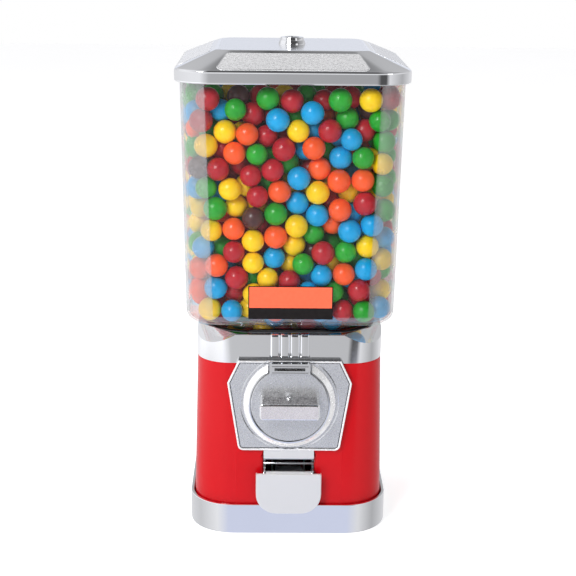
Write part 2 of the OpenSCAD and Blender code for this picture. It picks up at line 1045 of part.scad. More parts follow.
module lock_plug() {
    color("silver")
    difference() {
        translate([0, 0, plug_low])
            cylinder(r = plug_r, h = lock_top + 0.4 - plug_low);
        translate([-0.8, -3.4, lock_top - 5])
            cube([1.6, 6.8, 10]);
    }
}

module lock_nut() {
    color("silver")
    translate([0, 0, roof_top - lid_wall - 5])
    difference() {
        cylinder(r = 26 / sqrt(3), h = 5, $fn = 6);
        translate([0, 0, -1])
            cylinder(r = lock_stem_r, h = 7);
    }
}

base_tray();
rubber_feet();
centre_rod();
rod_nut();
body_shell();
collar();
globe_gasket();
globe();
label();
hopper_pan();
wheel_floor();
outlet_cover();
cover_screw();
candy_wheel();
wheel_bush();
agitator();
chute_ramp();
chute_throat();
flap_pin();
chute_flap();
coin_plate();
plate_screws();
dial_ring();
coin_slot_frame();
dial_knob();
knob_set_screw();
drive_shaft();
shaft_bushes();
mech_housing();
housing_screws();
coin_carrier();
ratchet_wheel();
pawl();
pawl_pin();
pawl_spring();
drive_pinion();
shaft_clip();
lid();
lock_body();
lock_plug();
lock_nut();
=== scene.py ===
"""Coin-operated candy dispenser: looks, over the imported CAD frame. Shapes are in millimetres until made."""

import math
import random

import bmesh
import bpy
import numpy as np
from mathutils import Matrix, Vector


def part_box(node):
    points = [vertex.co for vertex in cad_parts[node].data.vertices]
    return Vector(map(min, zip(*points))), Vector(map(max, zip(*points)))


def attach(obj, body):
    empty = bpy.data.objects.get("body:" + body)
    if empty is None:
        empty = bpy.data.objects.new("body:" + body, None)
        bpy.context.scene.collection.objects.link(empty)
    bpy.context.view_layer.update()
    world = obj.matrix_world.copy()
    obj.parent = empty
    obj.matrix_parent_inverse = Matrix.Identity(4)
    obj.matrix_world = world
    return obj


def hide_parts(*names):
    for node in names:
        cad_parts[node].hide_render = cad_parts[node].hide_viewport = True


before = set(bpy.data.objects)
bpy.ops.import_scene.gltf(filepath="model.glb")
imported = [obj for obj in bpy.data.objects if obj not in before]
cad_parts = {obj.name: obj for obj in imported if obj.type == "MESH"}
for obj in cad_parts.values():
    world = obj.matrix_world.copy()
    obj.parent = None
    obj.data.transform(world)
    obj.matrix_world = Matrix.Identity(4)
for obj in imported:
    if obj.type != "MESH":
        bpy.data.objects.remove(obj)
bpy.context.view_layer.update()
MM = 0.001


def span(node):
    """A CAD node's lowest and highest corner in millimetres."""
    lo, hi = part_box(node)
    return lo / MM, hi / MM


# ---- sizes, from the CAD nodes ----

BASE_HI = span("base_tray")[1]
BASE_HALF = BASE_HI.x
BASE_TOP = BASE_HI.z
SHELL_TOP = span("body_shell")[1].z
COLLAR_HI = span("collar")[1]
COLLAR_TOP = COLLAR_HI.z - 1
GLOBE_LO, GLOBE_HI = span("globe")
LID_LO, LID_HI = span("lid")
PLATE_LO, PLATE_HI = span("coin_plate")
KNOB_LO, KNOB_HI = span("dial_knob")
FLAP_LO, FLAP_HI = span("chute_flap")
LABEL_LO, LABEL_HI = span("label")
GASKET_LO, GASKET_HI = span("globe_gasket")
SLOT_LO, SLOT_HI = span("coin_slot_frame")
RING_LO = span("dial_ring")[0]

BODY_LOW, BODY_MID, COLLAR_HALF = 86.0, 82.9, COLLAR_HI.x
BODY_LOW_R, BODY_MID_R, COLLAR_R = 37.0, 31.0, 29.5
DIAL_Z = KNOB_LO.z + KNOB_HI.x
DIAL_R = KNOB_HI.x
PLATE_HOLES = ((38, 95), (42, 150))
HOLE_HALF = 74.6
WALL = 2.2
GLOBE_LOW_HALF, GLOBE_R, EDGE_R, EDGE_Z = 92.4, 27.5, 9.0, 205.0
NECK_HALF, NECK_R = 75.2, 42.0


def column_half(z):
    """Half width of the body and collar at height z."""
    if z <= SHELL_TOP:
        return BODY_MID + (BODY_LOW - BODY_MID) * (SHELL_TOP - z) / (SHELL_TOP - BASE_TOP)
    return BODY_MID + (COLLAR_HALF - BODY_MID) * (z - SHELL_TOP) / (COLLAR_TOP - SHELL_TOP)


def column_r(z):
    """Corner radius of the body and collar at height z."""
    if z <= SHELL_TOP:
        return BODY_MID_R + (BODY_LOW_R - BODY_MID_R) * (SHELL_TOP - z) / (SHELL_TOP - BASE_TOP)
    return BODY_MID_R + (COLLAR_R - BODY_MID_R) * (z - SHELL_TOP) / (COLLAR_TOP - SHELL_TOP)


# ---- shapes ----


def ring(half, r, z, step=12, sink=0.0):
    """A rounded square at height z, anticlockwise. Its corners lie back by sink, over a narrow slope."""
    pts = []
    c = half - r
    flat = max(0.0, c - 2.2)
    for q in range(4):
        turn = Matrix.Rotation(math.pi / 2 * q, 3, "Z")
        pts.append(turn @ Vector((half, flat, z)))
        for i in range(step + 1):
            a = math.pi / 2 * i / step
            pts.append(turn @ Vector((c + (r - sink) * math.cos(a), c + (r - sink) * math.sin(a), z)))
        pts.append(turn @ Vector((flat, half, z)))
    return pts


def loft(rings, closed=False, caps=True):
    """Skins a stack of rings with the same number of points."""
    n = len(rings[0])
    verts = [p for r in rings for p in r]
    faces = []
    pairs = len(rings) if closed else len(rings) - 1
    for k in range(pairs):
        a, b = k * n, (k + 1) % len(rings) * n
        faces += [(a + i, a + (i + 1) % n, b + (i + 1) % n, b + i) for i in range(n)]
    if caps and not closed:
        faces.append(tuple(reversed(range(n))))
        faces.append(tuple((len(rings) - 1) * n + i for i in range(n)))
    return verts, faces


def lathe(profile, n=72, axis="Z", at=(0, 0, 0), closed=False):
    """Turns (radius, along) points about an axis through at."""
    basis = {
        "Z": Matrix.Identity(3),
        "Y": Matrix(((1, 0, 0), (0, 0, 1), (0, 1, 0))),
        "X": Matrix(((0, 0, 1), (1, 0, 0), (0, 1, 0))),
    }[axis]
    rings = []
    for r, s in profile:
        r = max(r, 0.001)
        rings.append(
            [
                basis @ Vector((r * math.cos(t), r * math.sin(t), s)) + Vector(at)
                for t in (2 * math.pi * i / n for i in range(n))
            ]
        )
    return loft(rings, closed)


def prism(outline, y0, y1):
    """An outline in X and Z, pulled along Y. y0 and y1 may depend on the height."""
    f0 = y0 if callable(y0) else lambda z: y0
    f1 = y1 if callable(y1) else lambda z: y1
    n = len(outline)
    verts = [Vector((x, f0(z), z)) for x, z in outline] + [Vector((x, f1(z), z)) for x, z in outline]
    faces = [tuple(range(n)), tuple(reversed(range(n, 2 * n)))]
    faces += [(i, n + i, n + (i + 1) % n, (i + 1) % n) for i in range(n)]
    return verts, faces


def box(lo, hi):
    """A block between two corners."""
    xz = [(lo[0], lo[2]), (hi[0], lo[2]), (hi[0], hi[2]), (lo[0], hi[2])]
    return prism(xz, lo[1], hi[1])


def rounded_rect(x0, z0, x1, z1, r, n=6, low_r=None):
    """A rectangle in X and Z with rounded corners, anticlockwise."""
    low_r = r if low_r is None else low_r
    pts = []
    corners = ((x1, z1, 0, r), (x0, z1, 1, r), (x0, z0, 2, low_r), (x1, z0, 3, low_r))
    for x, z, q, rr in corners:
        cx = x - rr if q in (0, 3) else x + rr
        cz = z - rr if q in (0, 1) else z + rr
        for i in range(n + 1):
            a = math.pi / 2 * (q + i / n)
            pts.append((cx + rr * math.cos(a), cz + rr * math.sin(a)))
    return pts


def rounded(points, radii, n=6):
    """A convex outline with its corners rounded."""
    out = []
    count = len(points)
    for i, r in enumerate(radii):
        p, before, after = (Vector(points[(i + k) % count]) for k in (0, -1, 1))
        u, v = (before - p).normalized(), (after - p).normalized()
        half = u.angle(v) / 2
        centre = p + (u + v).normalized() * (r / math.sin(half))
        a = p + u * (r / math.tan(half)) - centre
        b = p + v * (r / math.tan(half)) - centre
        out += [tuple(centre + (a * (1 - k / n) + b * (k / n)).normalized() * r) for k in range(n + 1)]
    return out


def together(*shapes):
    """Several shapes as one."""
    verts, faces = [], []
    for v, f in shapes:
        faces += [tuple(i + len(verts) for i in face) for face in f]
        verts += list(v)
    return verts, faces


def make(name, shape):
    """A mesh object from a shape in millimetres."""
    mesh = bpy.data.meshes.new(name)
    mesh.from_pydata([tuple(Vector(v) * MM) for v in shape[0]], [], shape[1])
    bm = bmesh.new()
    bm.from_mesh(mesh)
    bmesh.ops.remove_doubles(bm, verts=bm.verts, dist=0.002 * MM)
    bmesh.ops.recalc_face_normals(bm, faces=bm.faces)
    bm.to_mesh(mesh)
    bm.free()
    obj = bpy.data.objects.new(name, mesh)
    bpy.context.collection.objects.link(obj)
    return obj


def settle(obj):
    """Puts the object's modifiers into its mesh."""
    dg = bpy.context.evaluated_depsgraph_get()
    mesh = bpy.data.meshes.new_from_object(obj.evaluated_get(dg))
    obj.modifiers.clear()
    obj.data = mesh
    return obj


def boolean(obj, shape, operation="DIFFERENCE"):
    """Cuts a shape out of the object, or adds it."""
    other = make("cutter", shape)
    m = obj.modifiers.new("cut", "BOOLEAN")
    m.object = other
    m.solver = "EXACT"
    m.operation = operation
    settle(obj)
    bpy.data.objects.remove(other)
    return obj


def soften(obj, width, segments=2, angle=35):
    """Rounds the edges sharper than angle."""
    m = obj.modifiers.new("edges", "BEVEL")
    m.width = width * MM
    m.segments = segments
    m.limit_method = "ANGLE"
    m.angle_limit = math.radians(angle)
    m.miter_outer = "MITER_ARC"
    return obj


def shade(obj, angle=40):
    """Smooth shading that keeps flat faces flat."""
    obj.data.shade_smooth()
    obj.data.set_sharp_from_angle(angle=math.radians(angle))
    m = obj.modifiers.new("normals", "WEIGHTED_NORMAL")
    m.keep_sharp = True
    m.weight = 60
    return obj


def paint(obj, *materials):
    """Gives the object its materials."""
    obj.data.materials.clear()
    for m in materials:
        obj.data.materials.append(m)
    return obj


def piece(obj, body, slot, *nodes):
    """Says which body the piece rides on, and hides the CAD nodes it stands for. The slot is not used."""
    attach(obj, body)
    if nodes:
        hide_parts(*nodes)
    return obj


# ---- materials ----


class Graph:
    """A material with one Principled shader, built node by node."""

    def __init__(self, name, **flat):
        self.mat = bpy.data.materials.new(name)
        self.mat.use_nodes = True
        self.tree = self.mat.node_tree
        self.shader = next(n for n in self.tree.nodes if n.type == "BSDF_PRINCIPLED")
        self.out = next(n for n in self.tree.nodes if n.type == "OUTPUT_MATERIAL")
        self.coords = self.add("ShaderNodeTexCoord")
        for key, value in flat.items():
            self.shader.inputs[key.replace("_", " ")].default_value = value

    def add(self, kind, **values):
        node = self.tree.nodes.new(kind)
        for key, value in values.items():
            setattr(node, key, value)
        return node

    def link(self, a, b):
        self.tree.links.new(a, b)

    def noise(self, scale, detail=2.0, rough=0.5):
        """Noise in the object's own metres."""
        n = self.add("ShaderNodeTexNoise")
        n.inputs["Scale"].default_value = scale
        n.inputs["Detail"].default_value = detail
        n.inputs["Roughness"].default_value = rough
        self.link(self.coords.outputs["Object"], n.inputs["Vector"])
        return n.outputs["Fac"]

    def ramp(self, fac, *stops):
        """Colours along fac, as (place, colour)."""
        node = self.add("ShaderNodeValToRGB")
        elements = node.color_ramp.elements
        while len(elements) > 1:
            elements.remove(elements[-1])
        for i, (place, colour) in enumerate(stops):
            e = elements[0] if i == 0 else elements.new(place)
            e.position = place
            e.color = (*colour, 1)
        self.link(fac, node.inputs["Fac"])
        return node.outputs["Color"]

    def span(self, fac, lo, hi, start=0.3, end=0.7):
        """fac, from start to end, as lo to hi."""
        node = self.add("ShaderNodeMapRange")
        for key, value in (("From Min", start), ("From Max", end), ("To Min", lo), ("To Max", hi)):
            node.inputs[key].default_value = value
        self.link(fac, node.inputs["Value"])
        return node.outputs["Result"]

    def bump(self, height, strength, distance=0.1, under=None):
        """A bump of that height, in millimetres, over another one."""
        node = self.add("ShaderNodeBump")
        node.inputs["Strength"].default_value = strength
        node.inputs["Distance"].default_value = distance * MM
        self.link(height, node.inputs["Height"])
        if under is not None:
            self.link(under, node.inputs["Normal"])
        return node.outputs["Normal"]


def lighter(colour, k):
    return tuple(min(1.0, c * k) for c in colour)


def metal(name, colour, rough=0.08, mottle=0.04, wave=0.0, grain=0.0, grain_scale=1300, spread=0.5, pure=1.0):
    """Plated or bare metal: faint tone and roughness changes, and grain or waviness where asked."""
    g = Graph(name, Metallic=pure)
    broad = g.noise(24, 3)
    g.link(
        g.ramp(broad, (0.3, lighter(colour, 1 - mottle)), (0.7, lighter(colour, 1 + mottle))),
        g.shader.inputs["Base Color"],
    )
    fine = g.noise(420, 4, 0.6)
    g.link(g.span(fine, rough * (1 - spread), rough * (1 + spread)), g.shader.inputs["Roughness"])
    normal = None
    if wave:
        normal = g.bump(g.noise(38, 1), wave, 0.4)
    if grain:
        normal = g.bump(g.noise(grain_scale, 2, 0.55), grain, 0.22, normal)
    if normal is None:
        normal = g.bump(fine, 0.05, 0.02)
    g.link(normal, g.shader.inputs["Normal"])
    return g.mat


def moulded(name, colour, rough=0.4, mottle=0.06, grain=0.1, grain_scale=700, coat=0.0, **flat):
    """Plastic, rubber or paint."""
    g = Graph(name, **flat)
    g.shader.inputs["Coat Weight"].default_value = coat
    g.shader.inputs["Coat Roughness"].default_value = 0.04
    broad = g.noise(30, 4, 0.6)
    g.link(
        g.ramp(broad, (0.3, lighter(colour, 1 - mottle)), (0.7, lighter(colour, 1 + mottle))),
        g.shader.inputs["Base Color"],
    )
    fine = g.noise(grain_scale, 3)
    g.link(g.span(fine, rough * 0.85, rough * 1.15), g.shader.inputs["Roughness"])
    g.link(g.bump(fine, grain, 0.05), g.shader.inputs["Normal"])
    return g.mat


CHROME = (0.94, 0.95, 0.97)
m_chrome = metal("chrome_plating", CHROME, 0.07, 0.01, wave=0.015)
m_trim = metal("chrome_trim", CHROME, 0.05, 0.01)
m_soft = metal("soft_chrome", (0.93, 0.94, 0.96), 0.18, 0.01, spread=0.1)
# painted shade: a dark steel put on groove floors and recess walls, where shade falls
m_painted_shade = metal("painted_shade_steel", (0.10, 0.10, 0.105), 0.35, 0.05)
# painted highlight: chrome rims and edges made half diffuse near-white so they read bright; the metallic half
# still reflects the real surroundings
m_highlight_rim = metal("painted_highlight_rim", (0.97, 0.97, 0.98), 0.22, 0.01, pure=0.45)
m_grain = metal("grained_chrome", (0.70, 0.705, 0.72), 0.28, 0.04, grain=0.62, grain_scale=1150, pure=0.8)
m_grip = metal("grained_grip", (0.84, 0.80, 0.81), 0.28, 0.04, grain=0.45, grain_scale=900, pure=0.75)
# painted shade: a darker copy of the grip's grained metal for its upward faces, standing in for the dark they
# reflect
m_grip_top_shade = metal("grained_grip_painted_shade", (0.42, 0.41, 0.42), 0.24, 0.05, grain=0.5, grain_scale=900)
m_panel = metal("grained_panel", (0.82, 0.82, 0.83), 0.32, 0.03, grain=0.36, grain_scale=1600, pure=0.55)
m_satin = metal("satin_steel", (0.86, 0.86, 0.865), 0.42, 0.01, pure=0.7, spread=0.05)
m_steel = metal("bright_steel", (0.62, 0.63, 0.65), 0.18, 0.05)
m_zinc = metal("zinc_casting", (0.42, 0.43, 0.45), 0.42, 0.10, grain=0.2, grain_scale=500)
m_brass = metal("brass", (0.72, 0.50, 0.20), 0.24, 0.06)
m_red = moulded("red_paint", (0.53, 0.0015, 0.006), 0.34, 0.02, 0.0, 260, coat=0.32, Specular_IOR_Level=0.1)
m_rubber = moulded("black_rubber", (0.015, 0.015, 0.017), 0.62, 0.2, 0.25, 900)
m_pan = moulded("grey_plastic", (0.30, 0.31, 0.33), 0.45, 0.08, 0.12, 800)
m_wheel = moulded("white_plastic", (0.62, 0.62, 0.60), 0.40, 0.05, 0.1, 800)


def clear_plastic(name, haze, rough):
    """Clear plastic: a mirror gloss that grows at a glancing angle, and a faint haze."""
    g = Graph(name, Metallic=1.0)
    fine = g.noise(60, 3)
    g.link(g.ramp(fine, (0.3, (0.92, 0.93, 0.94)), (0.7, (0.98, 0.99, 1.0))), g.shader.inputs["Base Color"])
    g.link(g.span(fine, rough * 0.6, rough * 1.4), g.shader.inputs["Roughness"])
    g.link(g.bump(g.noise(18, 2), 0.02, 0.3), g.shader.inputs["Normal"])
    clear = g.add("ShaderNodeBsdfTransparent")
    clear.inputs["Color"].default_value = (0.975, 0.98, 0.98, 1)
    glance = g.add("ShaderNodeLayerWeight")
    glance.inputs["Blend"].default_value = 0.5
    steep = g.add("ShaderNodeMath", operation="POWER")
    g.link(glance.outputs["Facing"], steep.inputs[0])
    steep.inputs[1].default_value = 5.0
    gloss = g.span(steep.outputs["Value"], 0.02 + haze, 1.0, 0.0, 1.0)
    mix = g.add("ShaderNodeMixShader")
    g.link(gloss, mix.inputs["Fac"])
    g.link(clear.outputs["BSDF"], mix.inputs[1])
    g.link(g.shader.outputs["BSDF"], mix.inputs[2])
    g.link(mix.outputs["Shader"], g.out.inputs["Surface"])
    return g.mat


def label_print():
    """An orange field over a black strip with a thin black edge. It carries no lettering."""
    g = Graph("label_print")
    g.shader.inputs["Specular IOR Level"].default_value = 0.25
    split = g.add("ShaderNodeSeparateXYZ")
    g.link(g.coords.outputs["Object"], split.inputs["Vector"])
    border, strip = 0.9, 10.3
    line = (LABEL_LO.z + strip) * MM

    def side(kind, socket, value):
        """1 on the named side of value, 0 on the other."""
        node = g.add("ShaderNodeMath", operation=kind)
        g.link(socket, node.inputs[0])
        node.inputs[1].default_value = value
        return node.outputs["Value"]

    def times(a, b):
        node = g.add("ShaderNodeMath", operation="MULTIPLY")
        g.link(a, node.inputs[0])
        g.link(b, node.inputs[1])
        return node.outputs["Value"]

    size = g.add("ShaderNodeMath", operation="ABSOLUTE")
    g.link(split.outputs["X"], size.inputs[0])
    within = side("LESS_THAN", size.outputs["Value"], (LABEL_HI.x - border) * MM)
    under = side("LESS_THAN", split.outputs["Z"], (LABEL_HI.z - border) * MM)
    field = times(times(side("GREATER_THAN", split.outputs["Z"], line), within), under)
    mottle = g.noise(300, 3)
    mix = g.add("ShaderNodeMix", data_type="RGBA")
    g.link(field, mix.inputs["Factor"])
    g.link(g.ramp(mottle, (0.3, (0.006, 0.004, 0.004)), (0.7, (0.011, 0.008, 0.008))), mix.inputs["A"])
    g.link(g.ramp(mottle, (0.3, (0.94, 0.130, 0.058)), (0.7, (1.0, 0.145, 0.066))), mix.inputs["B"])
    g.link(mix.outputs["Result"], g.shader.inputs["Base Color"])
    g.link(g.span(mottle, 0.32, 0.42), g.shader.inputs["Roughness"])
    g.link(g.bump(mottle, 0.06, 0.03), g.shader.inputs["Normal"])
    return g.mat


def candy(name, colour):
    """A polished sugar shell, a little different from one ball to the next."""
    g = Graph(name)
    g.shader.inputs["Coat Weight"].default_value = 0.2
    g.shader.inputs["Coat Roughness"].default_value = 0.12
    g.shader.inputs["Specular IOR Level"].default_value = 0.3
    each = g.add("ShaderNodeNewGeometry").outputs["Random Per Island"]
    mottle = g.noise(210, 3)
    tone = g.ramp(mottle, (0.3, lighter(colour, 0.92)), (0.7, lighter(colour, 1.06)))
    shift = g.ramp(each, (0.0, (0.90, 0.90, 0.90)), (1.0, (1.0, 1.0, 1.0)))
    mix = g.add("ShaderNodeMix", data_type="RGBA", blend_type="MULTIPLY")
    mix.inputs["Factor"].default_value = 1.0
    g.link(tone, mix.inputs["A"])
    g.link(shift, mix.inputs["B"])
    g.link(mix.outputs["Result"], g.shader.inputs["Base Color"])
    g.link(g.span(mottle, 0.26, 0.36), g.shader.inputs["Roughness"])
    g.link(g.bump(g.noise(380, 3), 0.10, 0.08), g.shader.inputs["Normal"])
    return g.mat


m_clear = clear_plastic("clear_globe", 0.0, 0.035)
m_clear_corner = clear_plastic("clear_globe_corner", 0.19, 0.35)
m_clear_edge = clear_plastic("clear_globe_edge", 0.16, 0.12)
m_label = label_print()

# ---- base tray ----

FOOT_AT, STAND_AT = 66.0, 50.0
inner = BASE_HALF - 2.94
tray_rings = [
    (BASE_HALF - 1.6, 38.4, 0.0),
    (BASE_HALF - 0.5, 39.5, 0.45),
    (BASE_HALF, 40.0, 1.7),
    (BASE_HALF, 40.0, BASE_TOP - 0.7),
    (BASE_HALF - 0.2, 39.8, BASE_TOP - 0.2),
    (BASE_HALF - 0.7, 39.3, BASE_TOP),
    (inner + 0.5, 37.7, BASE_TOP),
    (inner, 37.2, BASE_TOP - 0.5),
    (inner, 37.2, 4.0),
]
tray = make("tray_shell", loft([ring(h, r, z, 14) for h, r, z in tray_rings]))
boolean(tray, lathe([(12, 3.0), (12, 11.6), (11.6, 12), (0, 12)], 48), "UNION")
boolean(tray, lathe([(4, 2.0), (4, 20)], 40))
for sx in (-1, 1):
    for sy in (-1, 1):
        boolean(tray, lathe([(9, -1), (9, 2.5)], 48, at=(sx * FOOT_AT, sy * FOOT_AT, 0)))
        boolean(tray, lathe([(3.25, -1), (3.25, 6)], 40, at=(sx * STAND_AT, sy * STAND_AT, 0)))
paint(shade(tray, 32), m_chrome)
piece(tray, "housing", "base_chrome", "base_tray")

feet = [
    lathe(
        [(6.5, 2.4), (9, 2.4), (9, 0.7), (8.3, 0.0), (6.8, 0.0), (6.4, 0.5), (0, 0.5)],
        40,
        at=(sx * FOOT_AT, sy * FOOT_AT, 0),
    )
    for sx in (-1, 1)
    for sy in (-1, 1)
]
piece(paint(shade(make("feet", together(*feet))), m_rubber), "housing", "foot_rubber", "rubber_feet")

# ---- body shell ----

MOUTH = 22.9
SINK = 0.3
heights = [4.0, BASE_TOP, 50, 72, 94, 116, 138, SHELL_TOP - 0.6]
shell_rings = [ring(column_half(z), column_r(z), z, 14, SINK) for z in heights]
shell_rings.append(ring(BODY_MID - 0.5, BODY_MID_R - 0.5, SHELL_TOP, 14))
shell_rings.append(ring(HOLE_HALF, 23.0, SHELL_TOP, 14))
shell_rings.append(ring(HOLE_HALF, 23.0, SHELL_TOP - 3, 14))
for z in [SHELL_TOP - 3, 138, 116, 94, 72, 50, BASE_TOP, 4.0]:
    shell_rings.append(ring(column_half(z) - 2.5, column_r(z) - 2.5, z, 14))
shell = make("painted_shell", loft(shell_rings, closed=True))
boolean(shell, lathe([(32.5, -95), (32.5, -70)], 72, "Y", (0, 0, DIAL_Z)))
for sx in (-1, 1):
    ends = sorted((sx * (MOUTH - 1), sx * (MOUTH + 3.4)))
    boolean(shell, box((ends[0], -83.9, 27.0), (ends[1], -78.0, 80.5)), "UNION")
boolean(shell, box((-MOUTH, -95, 28.3), (MOUTH, -70, 78.4)))
for sx in (-1, 1):
    for x, z in PLATE_HOLES:
        boolean(shell, lathe([(2.2, -95), (2.2, -70)], 32, "Y", (sx * x, 0, z)))


def round_mouth(obj):
    """Rolls the outer edges of the mouth inwards."""
    bm = bmesh.new()
    bm.from_mesh(obj.data)
    lips = []
    for e in bm.edges:
        a, b = (v.co / MM for v in e.verts)
        level = abs(abs(a.x) - MOUTH) < 0.02 and abs(abs(b.x) - MOUTH) < 0.02
        front = all(abs(v.y + column_half(v.z)) < 0.1 for v in (a, b))
        if level and front and abs(a.z - b.z) > 0.5:
            lips.append(e)
    bmesh.ops.bevel(bm, geom=lips, offset=3.0 * MM, segments=14, affect="EDGES", profile=0.5)
    bm.to_mesh(obj.data)
    bm.free()


round_mouth(shell)
paint(shade(shell, 7.2), m_red)
piece(shell, "housing", "body_red", "body_shell")

# ---- collar ----

DECK, LEDGE_Z = 4.0, COLLAR_TOP - 2
STEP = 0.04
collar_rings = [ring(BODY_MID - 0.5, BODY_MID_R - 0.5, SHELL_TOP, 14)]
for z in (SHELL_TOP + 0.5, SHELL_TOP + 9, SHELL_TOP + 18, COLLAR_TOP - 0.7):
    collar_rings.append(ring(column_half(z), column_r(z), z, 14, STEP))
collar_rings += [
    ring(COLLAR_HALF - 0.6, COLLAR_R - 0.6, COLLAR_TOP, 14, STEP),
    ring(77.6, 45.0, COLLAR_TOP, 14),
    ring(77.6, 45.0, LEDGE_Z, 14),
    ring(HOLE_HALF, 43.0, LEDGE_Z, 14),
    ring(HOLE_HALF, 43.0, COLLAR_TOP - DECK, 14),
    ring(COLLAR_HALF - 2.5, COLLAR_R - 2.5, COLLAR_TOP - 13, 14),
    ring(BODY_MID - 2.5, BODY_MID_R - 2.5, SHELL_TOP, 14),
]
collar = make("collar_ring", loft(collar_rings, closed=True))
CUT_AT, CUT_SLOPE = 91.6, math.radians(35)
for q in range(4):
    block = box((-20, -60, 0), (60, 60, 40))
    place = (
        Matrix.Rotation(math.pi / 2 * q + math.pi / 4, 4, "Z")
        @ Matrix.Translation((CUT_AT, 0, COLLAR_TOP))
        @ Matrix.Rotation(CUT_SLOPE, 4, "Y")
    )
    boolean(collar, ([place @ v for v in block[0]], block[1]))
RIB_PITCH = 8.76
for i in range(4):
    x = (i - 1.5) * RIB_PITCH
    outline = [
        (x + dx, -COLLAR_HALF + dy)
        for dx, dy in (
            (-3.95, 2.0),
            (-3.95, -1.6),
            (-3.6, -2.6),
            (-2.7, -3.1),
            (0, -3.2),
            (2.7, -3.1),
            (3.6, -2.6),
            (3.95, -1.6),
            (3.95, 2.0),
        )
    ]
    levels = [(166.4, 1.6), (167.0, 0.5), (168.0, 0.0), (185.6, 0.0), (187.1, 0.5), (188.0, 1.7)]
    rib = [
        [Vector((px, min(py + back, -COLLAR_HALF + 2.0), z)) for px, py in outline] for z, back in levels
    ]
    boolean(collar, loft(rib), "UNION")
soften(collar, 0.45, 4, 32)
settle(collar)
paint(shade(collar, 14), m_trim)
piece(collar, "housing", "collar_chrome", "collar")

# ---- gasket ----

band = [
    ring(h, r, z, 14)
    for h, r, z in (
        (76.2, 43.0, GASKET_LO.z),
        (76.6, 43.4, GASKET_LO.z + 0.4),
        (76.6, 43.4, GASKET_HI.z - 0.5),
        (76.2, 43.0, GASKET_HI.z),
        (72.2, 39.0, GASKET_HI.z),
        (72.2, 39.0, GASKET_LO.z),
    )
]
for row in band:
    for v in row:
        if abs(v.x) > 33.5:
            v.z = min(v.z, GASKET_LO.z + 0.45)
gasket = make("gasket_band", loft(band, closed=True))
piece(paint(shade(gasket), m_rubber), "housing", "gasket_rubber", "globe_gasket")

# ---- globe ----


def globe_half(z, g=0.0):
    """Half width of the globe at height z, moved in by g."""
    if z >= EDGE_Z:
        return GLOBE_LOW_HALF + (GLOBE_HI.x - GLOBE_LOW_HALF) * (z - EDGE_Z) / (GLOBE_HI.z - EDGE_Z) - g
    s = (EDGE_Z - z) / (EDGE_R - g)
    return GLOBE_LOW_HALF - EDGE_R + (EDGE_R - g) * math.sqrt(max(0.0, 1 - s * s))


def globe_rings(g):
    """The globe from its neck up, moved in by g."""
    e = EDGE_R - g
    rings = [ring(NECK_HALF - g, NECK_R - g, GLOBE_LO.z, 14)]
    floor = EDGE_Z - e
    rings.append(ring(GLOBE_LOW_HALF - EDGE_R - 1.6 - g, NECK_R - g, floor - 1.2, 14))
    rings.append(ring(GLOBE_LOW_HALF - EDGE_R - 0.6 - g, NECK_R - 2 - g, floor, 14))
    for i in range(10):
        a = math.pi / 2 * i / 9
        half = GLOBE_LOW_HALF - EDGE_R + e * math.sin(a)
        r = GLOBE_R - EDGE_R + e * math.sin(a) + 4
        rings.append(ring(half, r, EDGE_Z - e * math.cos(a), 14))
    for k in range(1, 7):
        t = k / 6
        z = EDGE_Z + (GLOBE_HI.z - EDGE_Z) * t - (0.5 if k == 6 else 0)
        rings.append(ring(globe_half(z, g), GLOBE_R + 4 * (1 - t) - g, z, 14))
    rim = -0.4 if g else 0.4
    rings.append(ring(globe_half(GLOBE_HI.z, g) - rim, GLOBE_R - g - rim, GLOBE_HI.z, 14))
    return rings


globe = make("clear_globe_shell", loft(globe_rings(0) + globe_rings(WALL)[::-1], closed=True))
paint(shade(globe, 60), m_clear, m_clear_corner, m_clear_edge)
for f in globe.data.polygons:
    if f.center.z < EDGE_Z * MM:
        f.material_index = 2
    elif min(abs(f.normal.x), abs(f.normal.y)) > 0.22 and abs(f.normal.z) < 0.5:
        f.material_index = 1
piece(globe, "housing", "globe_clear", "globe")

# ---- label ----

rows, cols = 16, 12
label_x = LABEL_HI.x
sheets = []
for lift in (0.06, 0.34):
    sheets.append(
        [
            Vector((label_x * (2 * c / cols - 1), -globe_half(z) - lift, z))
            for z in (LABEL_LO.z + 0.1 + (LABEL_HI.z - LABEL_LO.z - 0.2) * r / rows for r in range(rows + 1))
            for c in range(cols + 1)
        ]
    )
w = cols + 1
count = w * (rows + 1)
label_faces = []
for r in range(rows):
    for c in range(cols):
        a = r * w + c
        label_faces.append((a, a + w, a + w + 1, a + 1))
        label_faces.append((count + a, count + a + 1, count + a + w + 1, count + a + w))
edge = list(range(cols)) + [r * w + cols for r in range(rows)]
edge += [rows * w + c for c in range(cols, 0, -1)] + [r * w for r in range(rows, 0, -1)]
for a, b in zip(edge, edge[1:] + edge[:1]):
    label_faces.append((a, b, count + b, count + a))
label = make("label_sheet", (sheets[0] + sheets[1], label_faces))
piece(paint(shade(label), m_label), "housing", "label_print", "label")

# ---- gumballs ----

BALL_R = 9.9
ROD_R = 4.4
STIRRER_R, STIRRER_TOP = 34.0, 181
FILL_Z = 404.0
BALL_COUNT = 1030
BALL_COLOURS = (
    ("crimson", (0.46, 0.010, 0.022), 26),
    ("green", (0.018, 0.36, 0.025), 22),
    ("orange", (1.0, 0.105, 0.018), 15),
    ("yellow", (1.0, 0.62, 0.003), 18),
    ("blue", (0.001, 0.35, 0.72), 15),
    ("brown", (0.080, 0.030, 0.030), 4),
)


